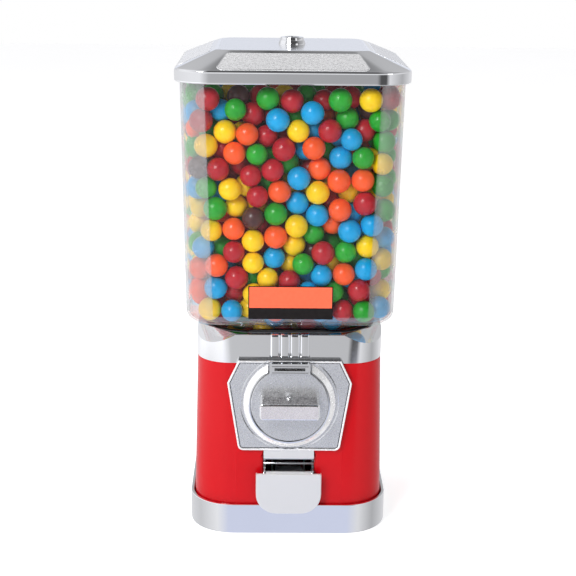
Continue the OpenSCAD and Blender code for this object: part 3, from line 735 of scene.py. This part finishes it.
def packed_balls():
    """Centres of balls spread evenly through the globe, its neck and the hopper."""
    rng = np.random.default_rng(7)
    start = rng.uniform((-84, -84, 164), (84, 84, FILL_Z - BALL_R), (6000, 3))
    moved = start.copy()
    hold(moved, np.full(len(start), BALL_R))
    p = start[np.abs(moved - start).max(1) < 1e-6][:BALL_COUNT]
    radii = BALL_R * rng.uniform(0.95, 1.05, len(p))
    for _ in range(420):
        order = np.argsort(p[:, 2])
        p, radii = p[order], radii[order]
        push = np.zeros_like(p)
        hits = np.ones(len(p))
        for lag in range(1, 150):
            d = p[lag:] - p[:-lag]
            near = d[:, 2] < 2.05 * BALL_R
            if not near.any():
                break
            dist = np.sqrt((d * d).sum(1)) + 1e-9
            over = radii[lag:] + radii[:-lag] - dist
            i = np.nonzero((over > 0) & near)[0]
            move = d[i] / dist[i, None] * (over[i] * 0.55)[:, None]
            np.add.at(push, i + lag, move)
            np.add.at(push, i, -move)
            np.add.at(hits, i + lag, 1)
            np.add.at(hits, i, 1)
        p += push / np.sqrt(hits)[:, None]
        hold(p, radii)
    return p, radii


def hold(p, radii):
    """Keeps ball centres inside the container and off what stands in it."""
    inner_low = GLOBE_LOW_HALF - EDGE_R
    z = p[:, 2]
    gap = 0.3
    # the globe's wall, and its rounded lower edge
    e = EDGE_R - WALL
    up = np.clip(z - EDGE_Z, 0, None)
    side = GLOBE_LOW_HALF - WALL + up * (GLOBE_HI.x - GLOBE_LOW_HALF) / (GLOBE_HI.z - EDGE_Z)
    dz = np.clip(EDGE_Z - z, 0, None)
    room = np.clip(e - radii, 0.1, None)
    low = inner_low + room * np.sqrt(np.clip(1 - (dz / room) ** 2, 0, 1))
    limit = np.where(z > EDGE_Z, side - radii - gap, np.minimum(low, GLOBE_LOW_HALF - WALL - radii) - gap)
    radius = np.where(z > EDGE_Z - e + radii - 0.5, GLOBE_R + 4 - WALL, NECK_R - WALL) - radii
    neck_z = GLOBE_LO.z
    neck = NECK_HALF - WALL - radii - gap
    limit = np.where(z < EDGE_Z - e + 4, neck, limit)
    funnel = 64.3 + (72.2 - 64.3) * np.clip((z - 163) / 24, 0, 1)
    limit = np.where(z < neck_z + 2, funnel - radii - 1.0, limit)
    radius = np.where(z < neck_z + 2, np.clip(limit, 30, None), radius)
    radius = np.minimum(np.clip(radius, 1, None), limit)
    for axis in (0, 1):
        p[:, axis] = np.clip(p[:, axis], -limit, limit)
    c = limit - radius
    q = np.abs(p[:, :2]) - c[:, None]
    corner = (q > 0).all(1)
    length = np.sqrt((q * q).sum(1))
    out = corner & (length > radius)
    scale = radius[out] / length[out]
    p[out, :2] = np.sign(p[out, :2]) * (c[out, None] + q[out] * scale[:, None])
    np.clip(p[:, 2], 163.6 + radii, FILL_Z - radii, out=p[:, 2])
    # the globe's floor, outside its neck
    wide = np.abs(p[:, :2]).max(1) > neck + 0.5
    floor = EDGE_Z - np.sqrt(
        np.clip(room**2 - np.clip(np.abs(p[:, :2]).max(1) - inner_low, 0, None) ** 2, 0, None)
    )
    floor = np.maximum(floor, EDGE_Z - e + radii)
    p[wide, 2] = np.maximum(p[wide, 2], floor[wide])
    # the rod, and the stirrer's sweep round it
    away = np.sqrt((p[:, :2] ** 2).sum(1)) + 1e-9
    low_down = p[:, 2] - radii < STIRRER_TOP
    core = np.where(low_down, np.minimum(STIRRER_R + radii, 46), ROD_R + radii)
    near = away < core
    p[near, :2] *= (core[near] / away[near])[:, None]


def ball_mesh(name, centres, radii, seed, around=24, rows=14):
    """Slightly uneven balls as one mesh."""
    rng = np.random.default_rng(seed)
    lat = np.linspace(0, math.pi, rows + 1)[1:-1]
    lon = np.linspace(0, 2 * math.pi, around, endpoint=False)
    unit = [(0, 0, 1)]
    for a in lat:
        unit += [(math.sin(a) * math.cos(b), math.sin(a) * math.sin(b), math.cos(a)) for b in lon]
    unit.append((0, 0, -1))
    unit = np.array(unit)
    last = len(unit) - 1
    faces = [(0, 1 + i, 1 + (i + 1) % around) for i in range(around)]
    for k in range(rows - 2):
        a = 1 + k * around
        faces += [
            (a + i, a + around + i, a + around + (i + 1) % around, a + (i + 1) % around)
            for i in range(around)
        ]
    a = 1 + (rows - 2) * around
    faces += [(a + i, last, a + (i + 1) % around) for i in range(around)]
    verts, all_faces = [], []
    for k, (c, r) in enumerate(zip(centres, radii)):
        turn, _ = np.linalg.qr(rng.normal(size=(3, 3)))
        if np.linalg.det(turn) < 0:
            turn[:, 0] *= -1
        squash = np.array([1.0, rng.uniform(0.985, 1.0), rng.uniform(0.975, 1.0)])
        verts.append((unit * squash) @ turn.T * r + c)
        base = k * len(unit)
        all_faces += [tuple(i + base for i in f) for f in faces]
    mesh = bpy.data.meshes.new(name)
    mesh.from_pydata((np.concatenate(verts) * MM).tolist(), [], all_faces)
    mesh.shade_smooth()
    obj = bpy.data.objects.new(name, mesh)
    bpy.context.collection.objects.link(obj)
    return obj


centres, radii = packed_balls()
deck = [i for i, c in enumerate(BALL_COLOURS) for _ in range(c[2])]
draw = random.Random(11)
kinds = np.array([draw.choice(deck) for _ in centres])
for i, (name, colour, _) in enumerate(BALL_COLOURS):
    mine = kinds == i
    balls = ball_mesh("gumballs_" + name, centres[mine], radii[mine], i)
    piece(paint(balls, candy("candy_" + name, colour)), "housing", None)

# ---- coin plate ----

PLATE_FRONT = PLATE_LO.y
FIELD_Y = PLATE_FRONT + 1.2
WIDE_Z = 143.8
LOW_HALF, FIELD_LOW = 45.3, 80.4
TOP_HALF, FIELD_TOP = 45.5, 164.5
HEX = [
    (-LOW_HALF, FIELD_LOW),
    (LOW_HALF, FIELD_LOW),
    (PLATE_HI.x, WIDE_Z),
    (TOP_HALF, FIELD_TOP),
    (-TOP_HALF, FIELD_TOP),
    (-PLATE_HI.x, WIDE_Z),
]


def inset(outline, d):
    """A convex outline moved in by d."""
    n = len(outline)
    pts = []
    for i in range(n):
        p0, p1, p2 = (Vector(outline[(i + k) % n]) for k in (-1, 0, 1))
        a, b = (p1 - p0).normalized(), (p2 - p1).normalized()
        na, nb = Vector((-a.y, a.x)), Vector((-b.y, b.x))
        m = (na + nb).normalized()
        pts.append(tuple(p1 + m * (d / m.dot(na))))
    return pts


def plate_edge(d):
    """The coin plate's outline moved in by d, with its corners rounded."""
    return rounded(inset(HEX, d), [max(r - d, 0.15) for r in (5.0, 5.0, 1.2, 0.6, 0.6, 1.2)])


def behind(z):
    """Just in front of the body at height z."""
    return -column_half(z) - 0.05


profile = [
    (0.0, None),
    (0.0, PLATE_FRONT + 1.0),
    (0.15, PLATE_FRONT + 0.5),
    (0.5, PLATE_FRONT + 0.13),
    (0.95, PLATE_FRONT),
    (1.4, PLATE_FRONT + 0.13),
    (1.75, PLATE_FRONT + 0.5),
    (1.9, PLATE_FRONT + 1.0),
    (1.9, FIELD_Y + 1.0),
    (2.55, FIELD_Y + 1.0),
    (2.6, FIELD_Y),
]
plate_rings = []
for d, y in profile:
    plate_rings.append([Vector((x, behind(z) if y is None else y, z)) for x, z in plate_edge(d)])
plate = make("plate_body", loft(plate_rings))
boolean(plate, box((-22.6, FIELD_Y + 0.7, 72.2), (22.6, -84.9, 81.4)), "UNION")
groove = [(43.1, -95), (43.1, FIELD_Y + 0.01), (43.6, FIELD_Y + 0.5), (44.1, FIELD_Y + 0.01), (44.1, -95)]
boolean(plate, lathe(groove, 96, "Y", (0, 0, DIAL_Z), closed=True))
boolean(plate, lathe([(32.0, -85), (32.0, -60)], 72, "Y", (0, 0, DIAL_Z)))
boolean(plate, lathe([(7.0, -100), (7.0, -60)], 48, "Y", (0, 0, DIAL_Z)))
boolean(plate, box((-11, -100, DIAL_Z + 14), (11, -60, DIAL_Z + 29)))
for sx in (-1, 1):
    for x, z in PLATE_HOLES:
        boolean(plate, lathe([(2.0, -87), (2.0, -60)], 32, "Y", (sx * x, 0, z)))
paint(shade(plate, 35), m_trim, m_grain, m_satin, m_highlight_rim, m_painted_shade)
for f in plate.data.polygons:
    c = f.center / MM
    # painted shade: the floor of the channel between the rim and the field takes the dark painted-shade steel
    if c.z > FIELD_LOW and abs(c.y - FIELD_Y - 1.0) < 0.05:
        f.material_index = 4
        continue
    if f.normal.y < -0.9 and abs(c.y - FIELD_Y) < 0.1:
        f.material_index = 1
    # painted highlight: the raised rim round the plate takes the near-white highlight finish
    elif c.y < FIELD_Y:
        f.material_index = 3
    elif c.z < FIELD_LOW:
        f.material_index = 2
piece(plate, "housing", "plate_chrome", "coin_plate")

# ---- dial ring and slot frame ----

RING_IN, RING_OUT, RING_FRONT = 34.9, 40.8, RING_LO.y
bezel = make(
    "dial_bezel",
    lathe(
        [
            (RING_IN, FIELD_Y),
            (RING_IN, RING_FRONT + 0.3),
            (RING_IN + 0.25, RING_FRONT),
            (RING_IN + 1.0, RING_FRONT),
            (RING_IN + 1.5, RING_FRONT + 0.2),
            (RING_OUT - 0.6, FIELD_Y - 2.1),
            (RING_OUT, FIELD_Y - 1.4),
            (RING_OUT, FIELD_Y),
        ],
        112,
        "Y",
        (0, 0, DIAL_Z),
        closed=True,
    ),
)
boolean(bezel, box((-19.2, -100, SLOT_LO.z), (19.2, -80, SLOT_HI.z + 5)))
paint(shade(bezel, 28), m_trim, m_highlight_rim)
for f in bezel.data.polygons:
    # painted highlight: the bezel's outer slope takes the near-white highlight finish
    if math.hypot(f.center.x, f.center.z - DIAL_Z * MM) > (RING_IN + 1.3) * MM:
        f.material_index = 1
piece(bezel, "housing", "ring_chrome", "dial_ring")

SLOT_FRONT = SLOT_LO.y
SLOT_TOP = SLOT_HI.z - 1.4
outer = rounded_rect(-18, SLOT_LO.z, 18, SLOT_TOP, 0.8, 4)
slot = make("slot_guard", prism(outer, SLOT_FRONT, -94.4))
boolean(slot, box((-16.9, SLOT_FRONT - 1, SLOT_LO.z - 1), (16.4, SLOT_FRONT + 1.5, SLOT_TOP - 1.6)))
boolean(slot, box((-13.5, SLOT_FRONT - 1, 157.2), (13.5, -80, 159.9)))
boolean(slot, box((-17.0, SLOT_FRONT + 0.2, SLOT_LO.z - 1), (-15.7, SLOT_FRONT + 2.4, SLOT_TOP - 1.6)))
for z, high in ((155.2, 1.1), (161.0, 1.1)):
    boolean(slot, box((-16.9, SLOT_FRONT + 0.2, z), (16.4, SLOT_FRONT + 2.4, z + high)))
boolean(slot, box((-18, -94.4, DIAL_Z + RING_IN + 1.4), (18, PLATE_FRONT, SLOT_TOP)), "UNION")
soften(slot, 0.3, 2, 40)
settle(slot)
paint(shade(slot), m_trim, m_painted_shade)
for f in slot.data.polygons:
    c = f.center / MM
    # painted shade: the slot guard's recessed groove walls and floors take the dark painted-shade steel
    if c.y > SLOT_FRONT + 0.25 and f.normal.y > -0.5 and abs(c.x) < 17.2 and c.z < SLOT_TOP - 1:
        f.material_index = 1
piece(slot, "housing", "slot_chrome", "coin_slot_frame")

# ---- dial ----

FACE_Y = RING_FRONT
GRIP_Y = KNOB_LO.y
disc = make(
    "dial_face",
    lathe(
        [
            (0, FACE_Y),
            (DIAL_R - 0.5, FACE_Y),
            (DIAL_R, FACE_Y + 0.4),
            (DIAL_R, -90.9),
            (DIAL_R - 0.4, -90.5),
            (9, -90.5),
            (9, FIELD_Y - 0.5),
            (0, FIELD_Y - 0.5),
        ],
        108,
        "Y",
        (0, 0, DIAL_Z),
    ),
)
bar = rounded_rect(-26.5, DIAL_Z - 7.3, 26.5, DIAL_Z + 7.3, 3.2, 6)
bar_rings = []
for d, y in ((0.0, FACE_Y + 1.0), (0.0, GRIP_Y + 1.6), (0.45, GRIP_Y + 0.5), (1.4, GRIP_Y), (2.0, GRIP_Y)):
    bar_rings.append([Vector((x, y, z)) for x, z in inset(bar, d)])
boolean(disc, loft(bar_rings), "UNION")
boolean(disc, lathe([(4.0, -111), (4.0, -80)], 40, "Y", (0, 0, DIAL_Z)))
boolean(disc, box((-11, -120, SLOT_LO.z + 0.6), (11, -80, DIAL_Z + DIAL_R + 1)))
boolean(disc, lathe([(2.0, DIAL_Z), (2.0, DIAL_Z + 9)], 32, at=(0, -99.5, 0)))
paint(shade(disc, 35), m_grain, m_trim, m_grip, m_grip_top_shade)
for f in disc.data.polygons:
    c = f.center / MM
    r = math.hypot(c.x, c.z - DIAL_Z)
    if c.y < FACE_Y - 0.5:
        # painted shade: the grip's upward faces take the darker copy of its metal
        f.material_index = 2 if f.normal.y < -0.97 else 3 if f.normal.z > 0.97 else 1
    elif r > DIAL_R - 0.6:
        f.material_index = 1
piece(disc, "dial", "dial_chrome", "dial_knob")

screw = make(
    "set_screw",
    lathe(
        [
            (2.0, DIAL_Z + 4.0),
            (2.0, DIAL_Z + 7.3),
            (3.0, DIAL_Z + 7.3),
            (2.9, DIAL_Z + 7.8),
            (2.3, DIAL_Z + 8.4),
            (1.3, DIAL_Z + 8.6),
            (1.1, DIAL_Z + 8.2),
            (0, DIAL_Z + 8.2),
        ],
        32,
        at=(0, -99.5, 0),
    ),
)
piece(paint(shade(screw), m_steel), "dial", "screw_steel", "knob_set_screw")

# ---- flap ----

FLAP_FRONT, FLAP_T = FLAP_LO.y, 1.8
PIN_Y, PIN_Z = -88.0, 57.5
flap_half = FLAP_HI.x


def flap_shape(d, low_r=19.0):
    """The flap's outline from the front, moved in by d."""
    return rounded_rect(
        -flap_half + d, FLAP_LO.z + d, flap_half - d, FLAP_HI.z - d, max(1.2 - d, 0.3), 10, low_r - d
    )


levels = [(1.5, -91.3), (0.0, -91.3), (0.0, FLAP_FRONT + 1.3), (0.4, FLAP_FRONT + 0.4), (1.3, FLAP_FRONT)]
back = [(1.5, FLAP_FRONT + FLAP_T)]
flap_rings = [[Vector((x, y, z)) for x, z in flap_shape(d)] for d, y in back + levels]
flap = make("flap_door", loft(flap_rings))
boolean(flap, box((-28.5, FLAP_FRONT + FLAP_T, PIN_Z - 4), (28.5, -80, FLAP_HI.z + 2)))
boolean(flap, lathe([(2.6, -20.6), (2.6, 20.6)], 48, "X", (0, PIN_Y, PIN_Z)), "UNION")
boolean(flap, box((-20.6, FLAP_FRONT + 1, PIN_Z - 2.6), (20.6, PIN_Y, PIN_Z - 0.6)), "UNION")
boolean(flap, lathe([(1.56, -22), (1.56, 22)], 40, "X", (0, PIN_Y, PIN_Z)))
piece(paint(shade(flap, 38), m_satin), "flap", "flap_metal", "chute_flap")

# ---- lid ----

SKIRT_LOW, SKIRT_TOP, ROOF_Z = LID_LO.z, LID_LO.z + 11, LID_HI.z
LID_HALF, LID_R, ROOF_HALF, ROOF_R = LID_HI.x, 30.0, 66.0, 14.0
REST_Z = GLOBE_HI.z + 0.3


def roof(t, d=0.0):
    """(half, corner radius, height) of the lid's slope, t from skirt to flat top, sunk by d."""
    half = LID_HALF + (ROOF_HALF - LID_HALF) * t
    return half - d * 0.4, LID_R + (ROOF_R - LID_R) * t - d * 0.4, SKIRT_TOP + (ROOF_Z - SKIRT_TOP) * t - d


lid_levels = [
    (LID_HALF - 0.7, LID_R - 0.7, SKIRT_LOW),
    (LID_HALF - 0.1, LID_R - 0.1, SKIRT_LOW + 0.7),
    (LID_HALF, LID_R, SKIRT_LOW + 1.6),
    (LID_HALF, LID_R, SKIRT_TOP - 2.2),
    (LID_HALF - 0.3, LID_R - 0.3, SKIRT_TOP - 0.9),
    (LID_HALF - 1.2, LID_R - 1.2, SKIRT_TOP + 0.1),
    roof(0.07, 0.1),
    roof(0.5),
    roof(0.965, 0.05),
    (ROOF_HALF - 0.4, ROOF_R - 0.4, ROOF_Z - 0.2),
    (ROOF_HALF - 1.6, ROOF_R - 1.6, ROOF_Z),
    (9.8, 9.8, ROOF_Z),
]
under = [
    (9.8, 9.8, ROOF_Z - 2.5),
    (ROOF_HALF - 1, ROOF_R - 1, ROOF_Z - 2.5),
    (92.3, 26.0, REST_Z + 4),
    (92.3, 21.5, REST_Z),
    (LID_HALF - 2.5, LID_R - 2.5, REST_Z),
    (LID_HALF - 2.5, LID_R - 2.5, SKIRT_LOW),
]
lid = make("lid_cover", loft([ring(h, r, z, 14) for h, r, z in lid_levels + under], closed=True))
paint(shade(lid, 14), m_trim, m_soft)
for f in lid.data.polygons:
    if f.normal.z > 0.99 and f.center.z > (ROOF_Z - 0.1) * MM:
        f.material_index = 1
piece(lid, "lid", "lid_chrome", "lid")

# grained panels on the four slopes, standing 0.3 mm proud between crisp edges, bright partly from real
# reflection and partly from a painted highlight
SLOPE = math.hypot(LID_HALF - ROOF_HALF, ROOF_Z - SKIRT_TOP)
panels = []
for q in range(4):
    turn = Matrix.Rotation(math.pi / 2 * q, 4, "Z")

    def on_slope(x, t, lift):
        half, _, z = roof(t / SLOPE)
        n = Vector((0, -(ROOF_Z - SKIRT_TOP), LID_HALF - ROOF_HALF)).normalized()
        return turn @ (Vector((x, -half, z)) + n * lift)

    low_z, high_z = 0.06 * SLOPE, 0.87 * SLOPE
    edge = rounded([(-65.5, low_z), (65.5, low_z), (56.5, high_z), (-56.5, high_z)], (5, 5, 2.5, 2.5))
    steps = ((0.0, -0.3), (0.0, 0.05), (0.35, 0.28), (0.9, 0.35))
    panels.append(loft([[on_slope(x, t, lift) for x, t in inset(edge, d)] for d, lift in steps]))
panel = make("lid_panels", together(*panels))
paint(shade(panel, 24), m_trim, m_panel, m_highlight_rim)
for f in panel.data.polygons:
    if len(f.vertices) > 4:
        f.material_index = 1
    # painted highlight: the panels' bevelled edges take the near-white highlight finish
    elif f.normal.z < 0.78:
        f.material_index = 2
piece(panel, "lid", "lid_chrome")

lock = make(
    "lock_barrel",
    lathe(
        [
            (9.8, 418.0),
            (9.8, ROOF_Z),
            (12.2, ROOF_Z),
            (12.1, ROOF_Z + 0.6),
            (11.2, 436.6),
            (10.7, 437.0),
            (10.3, 439.1),
            (9.9, 439.5),
            (7.0, 439.5),
            (6.5, 439.1),
            (6.08, 439.1),
            (6.08, 428.0),
            (4.35, 428.0),
            (4.35, 418.0),
        ],
        64,
        closed=True,
    ),
)
piece(paint(shade(lock), m_trim), "lid", "lock_chrome", "lock_body")
plug = make(
    "lock_core",
    lathe([(0, 428.4), (6.0, 428.4), (6.0, 439.5), (5.6, 439.9), (4.4, 439.9), (4.2, 439.7), (0, 439.7)], 48),
)
boolean(plug, box((-0.8, -3.4, 434.5), (0.8, 3.4, 445)))
piece(paint(shade(plug), m_steel), "plug", "lock_chrome", "lock_plug")

# ---- CAD nodes that stay as they are ----

KEPT = {
    "centre_rod": (m_steel, 0.4),
    "rod_nut": (m_steel, 0.3),
    "hopper_pan": (m_pan, 0.3),
    "outlet_cover": (m_steel, 0.25),
    "cover_screw": (m_steel, 0.25),
    "candy_wheel": (m_wheel, 0.2),
    "wheel_floor": (m_pan, 0.3),
    "wheel_bush": (m_brass, 0.2),
    "agitator": (m_steel, 0),
    "chute_ramp": (m_steel, 0.2),
    "chute_throat": (m_steel, 0.2),
    "flap_pin": (m_steel, 0.2),
    "plate_screws": (m_steel, 0.3),
    "drive_shaft": (m_steel, 0.3),
    "shaft_bushes": (m_brass, 0.2),
    "mech_housing": (m_zinc, 0.3),
    "housing_screws": (m_steel, 0.15),
    "coin_carrier": (m_brass, 0.2),
    "ratchet_wheel": (m_steel, 0.1),
    "pawl": (m_steel, 0.15),
    "pawl_pin": (m_steel, 0.15),
    "pawl_spring": (m_steel, 0),
    "drive_pinion": (m_brass, 0.15),
    "shaft_clip": (m_steel, 0.1),
    "lock_nut": (m_brass, 0.3),
}
for node, (finish, edge_width) in KEPT.items():
    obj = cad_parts[node]
    for s in obj.material_slots:
        s.material = finish
    weld = obj.modifiers.new("weld", "WELD")
    weld.merge_threshold = 0.005 * MM
    if edge_width:
        soften(obj, edge_width, 2, 50)

# ---- stage ----


def stage_mesh(name, verts, faces, mat):
    mesh = bpy.data.meshes.new(name)
    mesh.from_pydata(verts, [], faces)
    mesh.materials.append(mat)
    obj = bpy.data.objects.new(name, mesh)
    bpy.context.collection.objects.link(obj)
    return obj


floor_graph = Graph("floor_white", Roughness=0.9)
floor_graph.shader.inputs["Specular IOR Level"].default_value = 0.0
floor_graph.shader.inputs["Emission Color"].default_value = (1, 1, 1, 1)
floor_graph.shader.inputs["Emission Strength"].default_value = 0.55
floor_graph.link(
    floor_graph.ramp(floor_graph.noise(3, 2), (0.3, (0.90, 0.90, 0.90)), (0.7, (0.92, 0.92, 0.92))),
    floor_graph.shader.inputs["Base Color"],
)
FLOOR_HALF, FLOOR_DROP = 5.0, 0.0002
floor = stage_mesh(
    "floor",
    [(x * FLOOR_HALF, y * FLOOR_HALF, -FLOOR_DROP) for x, y in ((-1, -1), (1, -1), (1, 1), (-1, 1))],
    [(0, 1, 2, 3)],
    floor_graph.mat,
)
floor.visible_glossy = False

wall = bpy.data.materials.new("backdrop_white")
wall.use_nodes = True
wall.node_tree.nodes.clear()
wall_out = wall.node_tree.nodes.new("ShaderNodeOutputMaterial")
wall_glow = wall.node_tree.nodes.new("ShaderNodeEmission")
wall.node_tree.links.new(wall_glow.outputs["Emission"], wall_out.inputs["Surface"])
DOME_R, DOME_DROP = 8, 0.5
dome_rows = []
for k in range(7):
    e = math.pi / 2 * (k / 6 - 0.02)
    out, up = DOME_R * math.cos(e), DOME_R * math.sin(e) - DOME_DROP
    turns = [math.pi * i / 16 for i in range(32)]
    dome_rows.append([(out * math.cos(a), out * math.sin(a), up) for a in turns])
dome = stage_mesh("backdrop", *loft(dome_rows), wall)
for ray in ("diffuse", "glossy", "transmission", "shadow", "volume_scatter"):
    setattr(dome, "visible_" + ray, False)


def studio_world():
    """A soft studio all round: each level from the floor up has its own run of light and dark."""
    world = bpy.data.worlds.new("studio")
    world.use_nodes = True
    tree = world.node_tree
    add, link = tree.nodes.new, tree.links.new
    back = next(n for n in tree.nodes if n.type == "BACKGROUND")
    coords, split = add("ShaderNodeTexCoord"), add("ShaderNodeSeparateXYZ")
    link(coords.outputs["Generated"], split.inputs["Vector"])

    def math_node(kind, a, b=None):
        node = add("ShaderNodeMath")
        node.operation = kind
        for socket, value in zip(node.inputs, (a, b)):
            if isinstance(value, float):
                socket.default_value = value
            elif value is not None:
                link(value, socket)
        return node.outputs["Value"]

    def share(depth):
        """The angle about Z from where depth is highest, as 0 to 1, finest near that direction."""
        turn = math_node("ARCTAN2", split.outputs["X"], depth)
        root = math_node("SQRT", math_node("DIVIDE", math_node("ABSOLUTE", turn), math.pi))
        place = math_node("MULTIPLY_ADD", math_node("MULTIPLY", root, math_node("SIGN", turn)), 0.5)
        place.node.inputs[2].default_value = 0.5
        return place

    front = share(math_node("MULTIPLY", split.outputs["Y"], -1.0))
    behind = share(split.outputs["Y"])

    def level(stops, from_back):
        """A ring of light and dark. Stops are in degrees from the front, positive to the right."""
        places = {}
        for degrees, colour in stops:
            angle = math.copysign(180 - abs(degrees), degrees) if from_back else degrees
            tint = colour if isinstance(colour, tuple) else (colour, colour, colour * 1.02)
            places[0.5 + math.copysign(0.5 * math.sqrt(abs(angle) / 180), angle)] = tint
        node = add("ShaderNodeValToRGB")
        e = node.color_ramp.elements
        while len(e) > 1:
            e.remove(e[-1])
        for i, place in enumerate(sorted(places)):
            spot = e[0] if i == 0 else e.new(place)
            spot.position = place
            spot.color = (*places[place], 1)
        link(behind if from_back else front, node.inputs["Fac"])
        return node.outputs["Color"]

    def above(lower, upper, start, end):
        """lower below the elevation start, upper over end, in degrees."""
        fac, mix = add("ShaderNodeMapRange"), add("ShaderNodeMix")
        fac.inputs["From Min"].default_value = math.sin(math.radians(start))
        fac.inputs["From Max"].default_value = math.sin(math.radians(end))
        mix.data_type = "RGBA"
        link(split.outputs["Z"], fac.inputs["Value"])
        link(fac.outputs["Result"], mix.inputs["Factor"])
        link(lower, mix.inputs["A"])
        link(upper, mix.inputs["B"])
        return mix.outputs["Result"]

    sky = level(FLOOR_LEVEL, False)
    for stops, start, end, from_back in LEVELS:
        sky = above(sky, level(stops, from_back), start, end)
    link(sky, back.inputs["Color"])
    back.inputs["Strength"].default_value = 0.86
    return world


LAVENDER = (0.72, 0.76, 0.93)
TOP = (0.90, 0.93, 1.02)
# Stops are (degrees from the front, light). Each level also has the elevations over which it takes over, and
# whether its stops are spaced finest near the back.
FLOOR_LEVEL = [
    (-180, 0.9), (-100, 0.7), (-45, 0.95), (-15, LAVENDER), (15, LAVENDER), (45, 0.85), (90, 0.5), (180, 0.9),
]
LOW_WALL = [
    (-180, 0.9), (-100, 1.4), (-30, 1.3), (-6, 0.66), (6, 0.58), (14, 0.12), (30, 0.12), (42, 0.85),
    (90, 0.45), (140, 0.85), (180, 0.9),
]
MIDDLE_WALL = [
    (-180, 0.85), (-60, 0.95), (-30, 0.95), (-6, 0.52), (6, 0.42), (14, 0.1), (30, 0.1), (42, 0.85),
    (90, 0.5), (140, 0.85), (180, 0.85),
]
EYE_LEVEL = [
    (-180, TOP), (-165, TOP), (-145, 0.6), (-110, 1.0), (0, 0.9), (110, 0.8), (145, 0.6), (165, TOP),
    (180, TOP),
]
HIGH_WALL = [
    (-180, 0.25), (-150, 0.8), (-110, 1.1), (-70, 1.1), (-40, 0.08), (40, 0.08), (75, 0.4), (150, 0.7),
    (180, 0.25),
]
CEILING = [
    (-180, 0.04), (-150, 0.75), (-110, 1.0), (-50, 0.8), (-25, 0.12), (25, 0.12), (60, 0.35), (150, 0.6),
    (180, 0.04),
]
LEVELS = [
    (LOW_WALL, -21, -18, False),
    (MIDDLE_WALL, -12, -8, False),
    (EYE_LEVEL, 0, 3, True),
    (HIGH_WALL, 13, 18, True),
    (CEILING, 44, 49, True),
]
bpy.context.scene.world = studio_world()


def area(name, place, target, size, power, glossy=True):
    light = bpy.data.lights.new(name, "AREA")
    light.shape = "RECTANGLE"
    light.size, light.size_y = size
    light.energy = power
    obj = bpy.data.objects.new(name, light)
    bpy.context.collection.objects.link(obj)
    obj.location = place
    obj.rotation_euler = (Vector(target) - Vector(place)).to_track_quat("-Z", "Y").to_euler()
    obj.visible_camera = False
    obj.visible_glossy = glossy
    return obj


area("key", (-0.9, -1.5, 1.35), (0, 0, 0.25), (0.8, 0.8), 28)
area("fill", (1.1, -1.2, 0.9), (0, 0, 0.25), (0.5, 0.8), 1)
area("top", (0, 0.2, 1.6), (0, 0, 0), (0.9, 0.9), 7, glossy=False)

# ---- camera ----

cam_data = bpy.data.cameras.new("camera")
cam = bpy.data.objects.new("camera", cam_data)
bpy.context.collection.objects.link(cam)
cam_data.sensor_width = 36.0
cam_data.lens = 87.44
cam.location = Vector((-19.2, -1264.8, 540.6)) * MM
aim = (Vector((-1.12, 0.0, 207.6)) * MM - cam.location).to_track_quat("-Z", "Y")
cam.rotation_mode = "QUATERNION"
cam.rotation_quaternion = aim @ Matrix.Rotation(math.radians(0.64), 3, "Z").to_quaternion()
cam_data.clip_start, cam_data.clip_end = 0.05, 50
scene = bpy.context.scene
scene.camera = cam
scene.view_settings.view_transform = "Standard"
scene.view_settings.look = "None"
